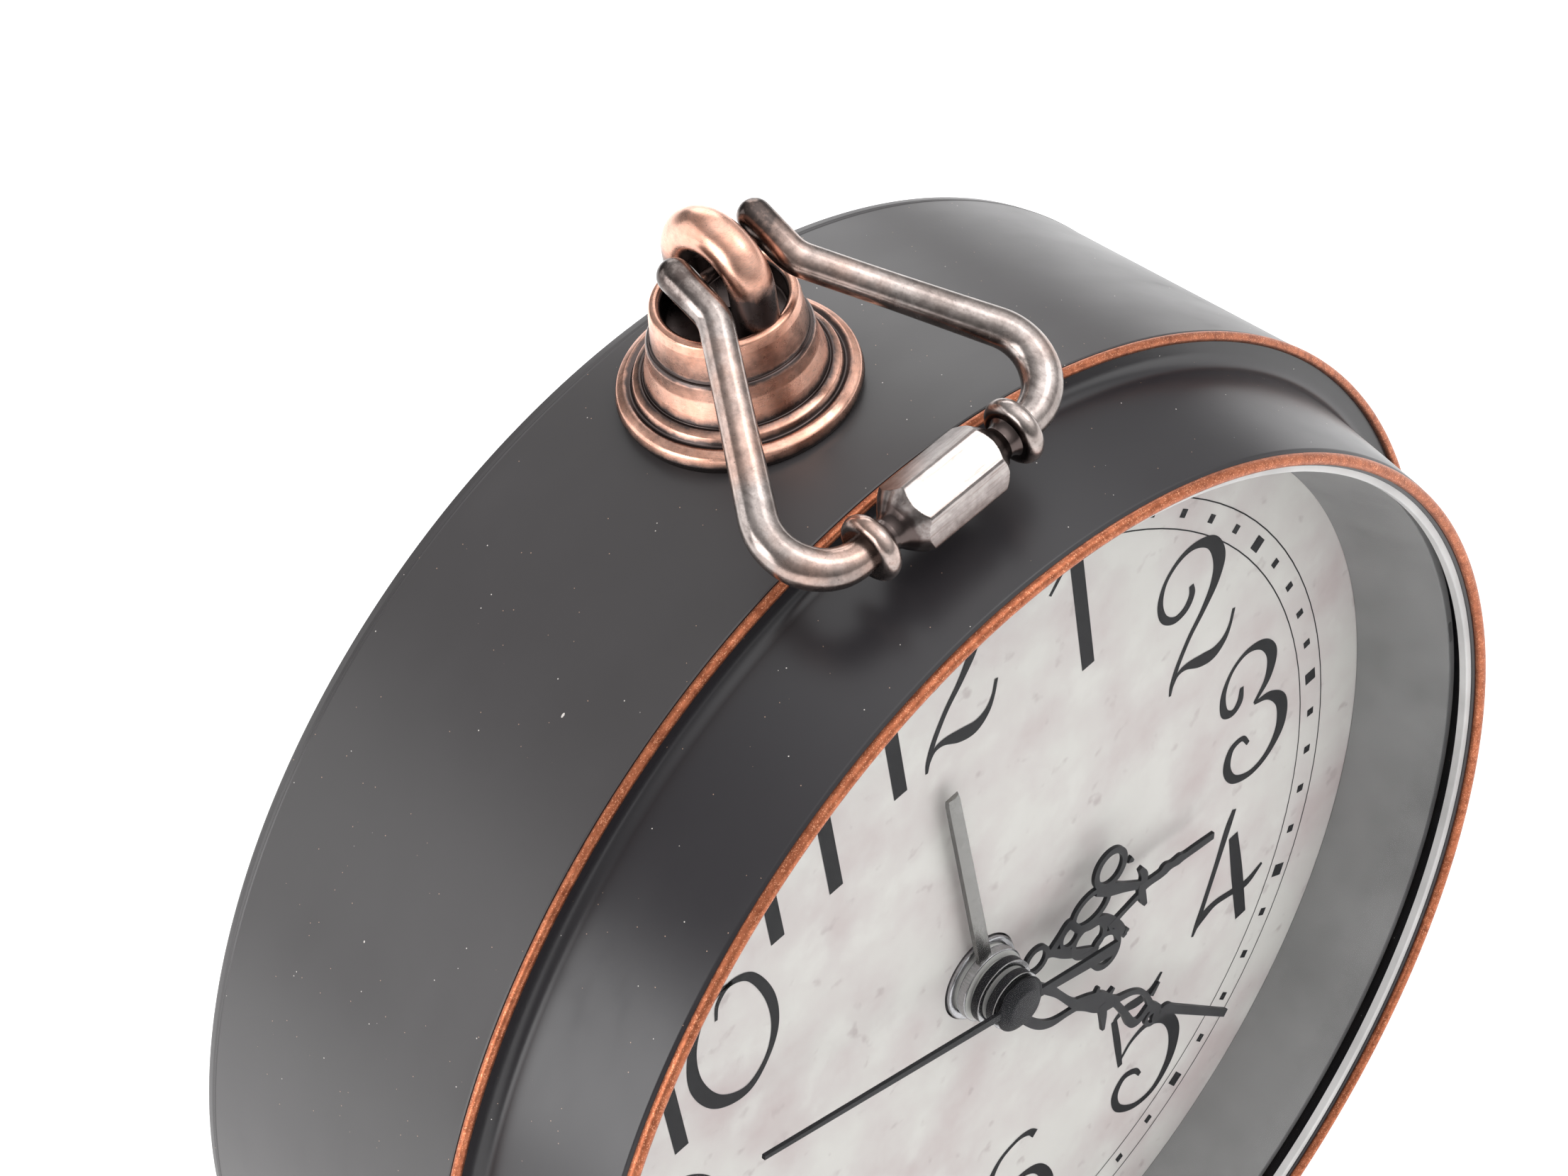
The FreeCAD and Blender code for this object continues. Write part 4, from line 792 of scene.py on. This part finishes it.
alarm_bm = bmesh.new()
length, half, crown = ALARM_HAND_L, ALARM_HAND_HALF, ALARM_HAND_CROWN
profile = [(-half, 0.0), (-half * 0.8, -crown * 0.7), (0.0, -crown), (half * 0.8, -crown * 0.7),
           (half, 0.0)]
rows = []
for z, wide in ((3.2, 1.0), (8.0, 1.0), (16.0, 0.96), (23.7, 0.92), (length, 0.8)):
    rows.append([(x * wide, y, z) for x, y in profile])
c, s = math.cos(math.radians(ALARM_ANGLE)), math.sin(math.radians(ALARM_ANGLE))
grid = [[alarm_bm.verts.new(at(x * c + z * s, ALARM_HAND_Y + y, z * c - x * s)) for x, y, z in row]
        for row in rows]
for a, b in zip(grid, grid[1:]):
    for k in range(len(a)):
        n = (k + 1) % len(a)
        alarm_bm.faces.new((a[k], a[n], b[n], b[k]))
alarm_bm.faces.new(grid[0])
alarm_bm.faces.new(grid[-1])
alarm = finish_mesh("alarm_hand_strip", alarm_bm, "alarm", replaces=["alarm_hand"], sharp=25)
give(alarm, brushed("hand_silver_look", (0.27, 0.265, 0.255), 0.27, (1.0, 1.0, 8.0), 0.1))

second_bm = bmesh.new()
needle = [(0.0, -1.0, 0.75), (0.0, 10.0, 0.62), (0.0, 20.0, 0.5), (0.0, 29.3, 0.42)]
tail = [(0.0, 1.0, 0.8), (0.0, -5.0, 0.95), (0.0, -12.0, 1.3)]
ribbon(second_bm, [needle, tail], SECOND_HAND_Y, HAND_SHEET, 0.003, SECOND_ANGLE)
second = finish_mesh("second_hand_needle", second_bm, "second", replaces=["second_hand"], smooth=False)
look(second, "hand_black")
cap = lathe("second_hand_cap", rounded_loop([
    (0.0, -5.95), (1.7, -5.85, 0.6), (2.55, -5.3, 0.3), (2.6, -5.05, 0.1), (0.0, -5.0)], 6), "second",
    segments=96)
look(cap, "hand_black")


# ---- Handle base, eye and bail ----
def near(p, q, reach):
    """One at a place, falling to nothing at its reach."""
    return max(0.0, 1.0 - math.hypot(p[0] - q[0], p[1] - q[1]) / reach)


def base_dark(r, h):
    """How dark a place on the handle's base is painted: tarnish in the grooves, darker toward the bottom of the
    flange, and painted shade inside the cup.
    """
    grooves = ((8.05, 58.75, 0.75), (6.98, 59.5, 0.75), (6.0, 62.95, 0.6))
    dark = max(near((r, h), (gr, gz), reach) for gr, gz, reach in grooves)
    if h < 58.3:
        dark = max(dark, min(1.0, (58.3 - h) / 0.7))
    # Painted shade: the whole inside of the cup is painted dark.
    if r < CUP_R + 0.15:
        dark = 0.8
    return dark


base_outline = rounded_loop([
    (1.6, 56.4), (8.6, 56.4), (9.0, 57.2, 0.3), (9.32, 57.75, 0.45), (9.15, 58.6, 0.5), (8.5, 59.0, 0.4),
    (8.0, 58.75, 0.15), (7.75, 59.38, 0.35), (7.2, 59.68, 0.35), (6.95, 59.5, 0.12), (6.75, 60.4, 1.5),
    (6.42, 61.6, 1.5), (6.3, 62.7, 0.3), (6.12, 62.98, 0.15), (5.92, 62.98, 0.05), (5.86, 63.3, 0.3),
    (5.66, 65.3, 0.8), (5.5, 66.1, 0.35), (5.0, RIM_Z + 0.08, 0.35), (CUP_R + 0.05, 65.95, 0.3),
    (CUP_R, 65.2, 0.3), (CUP_R, CUP_FLOOR_Z, 0.2), (1.0, CUP_FLOOR_Z)], 7)
base = lathe("handle_base_turned", base_outline, "case", axis="Z", centre=(0, HANDLE_Y), segments=160,
             marks=base_dark, replaces=["handle_base"], sharp=50)
look(base, "antique_copper")

LEG_STEPS, TURN_STEPS = 8, 32
leg = [CUP_FLOOR_Z + k * (EYE_Z - CUP_FLOOR_Z) / LEG_STEPS for k in range(LEG_STEPS + 1)]
eye_path = [Vector((0, HANDLE_Y - EYE_BEND_R, z)) for z in leg]
for k in range(1, TURN_STEPS):
    a = math.pi - math.pi * k / TURN_STEPS
    eye_path.append(Vector((0, HANDLE_Y + EYE_BEND_R * math.cos(a), EYE_Z + EYE_BEND_R * math.sin(a))))
eye_path += [Vector((0, HANDLE_Y + EYE_BEND_R, z)) for z in reversed(leg)]
eye = sweep("handle_eye_ring", eye_path, [EYE_WIRE_R] * len(eye_path), "case", sides=48,
            replaces=["handle_eye"])
# Darker down the legs below 70.3 mm and on the inner side of the loop.
for v, d in zip(eye.data.vertices, eye.data.attributes["dark"].data):
    p = (v.co - ORIGIN) / MM
    inside = math.hypot(p.y - HANDLE_Y, max(p.z - EYE_Z, 0.0))
    d.value = max(0.0, min(0.9, (70.3 - p.z) / 2.4), min(1.0, (EYE_BEND_R - 0.5 - inside) / 0.8))
look(eye, "antique_copper")


def half_bail(side):
    """One bent wire of the bail, with its stub in the eye and its bead beside the barrel."""
    hand = "left" if side < 0 else "right"
    tip = Vector((side * BAIL_TIP[0], *BAIL_TIP[1:]))
    kink = Vector((side * BAIL_KINK[0], *BAIL_KINK[1:]))
    corner, end = Vector((side * BAR_CORNER_X, BAR_Y, BAR_Z)), Vector((side * (BEAD_X - 0.2), BAR_Y, BAR_Z))
    first = arc_points(tip, kink, corner, KINK_BEND_R, 14)
    second = arc_points(kink, corner, end, CORNER_BEND_R, 26)
    straight = [first[-1].lerp(second[0], k / 14) for k in range(1, 14)]
    bar = [second[-1].lerp(end, k / 4) for k in range(1, 5)]
    path = [tip.lerp(first[0], k / 4) for k in range(4)] + first + straight + second + bar
    middle = second[len(second) // 2]
    radii = [WIRE_R - WIRE_TAPER * min(1.0, (p - tip).length / TAPER_REACH)
             + WIRE_SWELL * max(0.0, 1.0 - (p - middle).length / SWELL_REACH) ** 1.5
             - WIRE_NECK * max(0.0, 1.0 - (p - end).length / NECK_REACH) for p in path]
    wire = sweep("bail_wire_" + hand, *dome_ends(path, radii, True, False), "bail", sides=40,
                 replaces=["bail_arm_" + hand])
    for v, d in zip(wire.data.vertices, wire.data.attributes["dark"].data):
        p = (v.co - ORIGIN) / MM
        by_the_eye = min(1.0, max(0.0, (p.y - 11.5) / 3.0))
        d.value = 0.25 + 0.35 * by_the_eye + 0.3 * near((p.y, p.z), (BAR_Y, BAR_Z - 1.5), 2.5)
    look(wire, "antique_pewter")
    stub_path = [Vector((side * x, STUB_Y, STUB_Z)) for x in (3.9, 3.2, 2.4, 1.6, 0.9, 0.4)]
    stub = sweep("bail_stub_" + hand, *dome_ends(stub_path, [STUB_R] * 6, False, True), "bail", sides=20)
    for d in stub.data.attributes["dark"].data:
        d.value = 0.3
    look(stub, "antique_pewter")
    turns = [math.radians(a) for a in range(-90, 91, 10)]
    round_side = [(BEAD_MAJOR_R + BEAD_MINOR_R * math.cos(a), BEAD_MINOR_R * math.sin(a)) for a in turns]
    outline = [(0.0, -BEAD_MINOR_R)] + round_side + [(0.0, BEAD_MINOR_R)]
    bead = lathe("bail_bead_" + hand, outline, "bail", segments=72,
                 place=lambda p: at(side * BEAD_X + p.z, BAR_Y + p.x, BAR_Z + p.y),
                 marks=lambda r, h: 0.15 + 0.8 * min(1.0, max(0.0, (2.4 - r) / 0.5)))
    look(bead, "antique_pewter")


half_bail(-1)
half_bail(1)


def barrel():
    """The six-sided grip: flats with softened corners, coned ends, and a waisted neck at each end."""
    bm = bmesh.new()
    layer = bm.verts.layers.float.new("dark")
    sides = 180
    # (distance from the middle, largest radius there)
    neck = [(6.49, 1.62), (6.3, 1.45), (6.0, 1.32), (5.7, 1.3), (5.4, 1.4), (5.1, 1.62)]
    cone = [(4.85 - 0.05 * k, 1.9 + 0.0448 * k) for k in range(27)]
    stations = neck + cone + [(3.4, 3.1), (2.0, 3.1), (0.0, 3.1)]
    full = [(-x, r) for x, r in stations] + [(x, r) for x, r in reversed(stations[:-1])]
    rows = []
    for x, limit in full:
        row = []
        for i in range(sides):
            a = 2 * math.pi * i / sides
            fold = a % (math.pi / 3) - math.pi / 6
            flat = BARREL_CORNER_R * math.cos(math.pi / 6) / math.cos(math.pi / 6 - abs(fold))
            r = min(limit, flat, BARREL_CORNER_R - 0.07)
            v = bm.verts.new(at(x, BAR_Y + r * math.cos(a), BAR_Z + r * math.sin(a)))
            # Painted shade: flats turned away from up-and-front, 120 degrees round the bar, are painted darker;
            # worn measures how squarely a flat faces up-and-front. Rounded corners, the coned ends and the necks
            # are darker too.
            worn = max(0.0, math.cos(a - math.radians(120)))
            v[layer] = max(0.42 - 0.42 * worn, 0.3 if r < flat - 0.004 else 0.0,
                           min(0.8, (abs(x) - 4.2) / 0.8))
            row.append(v)
        rows.append(row)
    for a, b in zip(rows, rows[1:]):
        for i in range(sides):
            n = (i + 1) % sides
            bm.faces.new((a[i], a[n], b[n], b[i]))
    bm.faces.new(rows[0])
    bm.faces.new(rows[-1])
    made = finish_mesh("bail_barrel_hex", bm, "bail", replaces=["bail_barrel"], sharp=20)
    return look(made, "antique_pewter")


give(barrel(), barrel_metal())


# ---- Feet ----
def foot_frame(side, y):
    """A function that places a point of the upright foot on the leaning foot's own axis."""
    lean = math.radians(FOOT_ANGLE)
    down = Vector((side * math.sin(lean), 0, -math.cos(lean)))
    across = Vector((math.cos(lean), 0, side * math.sin(lean)))

    def place(local):
        p = across * local.x + Vector((0, 1, 0)) * local.y + down * local.z
        return at(p.x, p.y + y, p.z)

    return place


tip = (-STAND_Z - TIP_DROP) / math.cos(math.radians(FOOT_ANGLE))
foot_outline = rounded_loop([
    (1.0, 56.6), (4.9, 56.6), (5.3, 57.5, 0.3), (5.45, 58.2, 0.35), (5.0, 58.8, 0.35), (4.45, 58.85, 0.1),
    (4.3, 59.5, 0.3), (3.3, 60.4, 1.5), (2.85, 62.4, 2.0), (3.0, tip - 5.6, 1.0), (4.3, tip - 4.1, 0.4),
    (4.4, tip - 3.3, 0.15), (4.1, tip - 3.1, 0.05), (1.0, tip - 3.1)], 7)
for side, hand in ((-1, "left"), (1, "right")):
    for y, end in zip(FOOT_YS, ("front", "rear")):
        place = foot_frame(side, y)
        made = lathe("foot_turned_%s_%s" % (end, hand), foot_outline, "case", segments=96, place=place,
                     marks=lambda r, h: 0.8 if 58.7 < h < 59.3 or h > tip - 3.4 else 0.0,
                     replaces=["foot_%s_%s" % (end, hand)], sharp=50)
        look(made, "antique_copper")

# ---- Floor, light and camera ----
floor_mesh = bpy.data.meshes.new("floor")
floor_mesh.from_pydata([(-3, -3, 0), (3, -3, 0), (3, 3, 0), (-3, 3, 0)], [], [(0, 1, 2, 3)])
floor = bpy.data.objects.new("floor", floor_mesh)
bpy.context.scene.collection.objects.link(floor)
floor.data.materials.append(material("floor_look", (0.90, 0.90, 0.90), 0.8,
                                     Emission_Color=(1.0, 1.0, 1.0, 1.0), Emission_Strength=0.45))

# The studio is brightest toward one direction; the stops are (dot product with it, grey).
GLOW_TOWARD = (0.38, -0.28, 0.88)
GLOW_STOPS = ((0.10, 0.10), (0.45, 0.26), (0.66, 0.38), (0.86, 0.90), (0.95, 1.0))
GLOW_STRENGTH = 1.9
world = bpy.data.worlds.new("studio")
world.use_nodes = True
sky = world.node_tree
way = sky.nodes.new("ShaderNodeTexCoord")
toward = sky.nodes.new("ShaderNodeVectorMath")
toward.operation = "DOT_PRODUCT"
toward.inputs[1].default_value = Vector(GLOW_TOWARD).normalized()
glow = sky.nodes.new("ShaderNodeValToRGB")
while len(glow.color_ramp.elements) < len(GLOW_STOPS):
    glow.color_ramp.elements.new(0.5)
for e, (place, value) in zip(glow.color_ramp.elements, GLOW_STOPS):
    e.position = place
    e.color = (value, value, value, 1.0)
sky.links.new(way.outputs["Generated"], toward.inputs[0])
sky.links.new(toward.outputs["Value"], glow.inputs["Fac"])
sky.links.new(glow.outputs["Color"], sky.nodes["Background"].inputs["Color"])
sky.nodes["Background"].inputs["Strength"].default_value = GLOW_STRENGTH
bpy.context.scene.world = world


def panel(name, place, aim, width, height, power):
    """A white soft box at a place, turned toward its aim, in metres and watts."""
    data = bpy.data.lights.new(name, "AREA")
    data.shape = "RECTANGLE"
    data.size, data.size_y, data.energy = width, height, power
    lamp = bpy.data.objects.new(name, data)
    bpy.context.scene.collection.objects.link(lamp)
    lamp.location = place
    lamp.rotation_euler = (Vector(aim) - Vector(place)).to_track_quat("-Z", "Y").to_euler()


panel("key_soft_box", (0.33, -0.29, 0.66), (0.0, 0.0, 0.10), 0.26, 0.26, 0.45)
panel("fill_left", (-0.80, 0.10, 0.32), (0.0, 0.0, 0.08), 0.5, 0.5, 3.8)
panel("rim_back_left", (-0.5, 0.6, 0.35), (0.0, 0.0, 0.08), 0.5, 0.5, 1.2)
panel("rim_back_right", (0.5, 0.6, 0.4), (0.0, 0.0, 0.08), 0.5, 0.5, 1.8)

# The camera's place and aim are in the clock's own millimetres; its roll is in radians.
CAMERA_AT, CAMERA_AIM = (-121.49, -146.26, 241.55), (-32.32, -27.51, 90.64)
CAMERA_ROLL, CAMERA_LENS = -0.1922, 85.09
camera_data = bpy.data.cameras.new("camera")
camera_data.sensor_width = 36.0
camera_data.lens = CAMERA_LENS
camera_data.clip_start = 0.01
camera = bpy.data.objects.new("camera", camera_data)
bpy.context.scene.collection.objects.link(camera)
eye_at = at(*CAMERA_AT)
forward = (at(*CAMERA_AIM) - eye_at).normalized()
level = forward.cross(Vector((0, 0, 1))).normalized()
upright = level.cross(forward)
right = level * math.cos(CAMERA_ROLL) + upright * math.sin(CAMERA_ROLL)
up = upright * math.cos(CAMERA_ROLL) - level * math.sin(CAMERA_ROLL)
turn = Matrix((right, up, -forward)).transposed()
camera.matrix_world = Matrix.Translation(eye_at) @ turn.to_4x4()
bpy.context.scene.camera = camera
bpy.context.scene.view_settings.view_transform = "Standard"
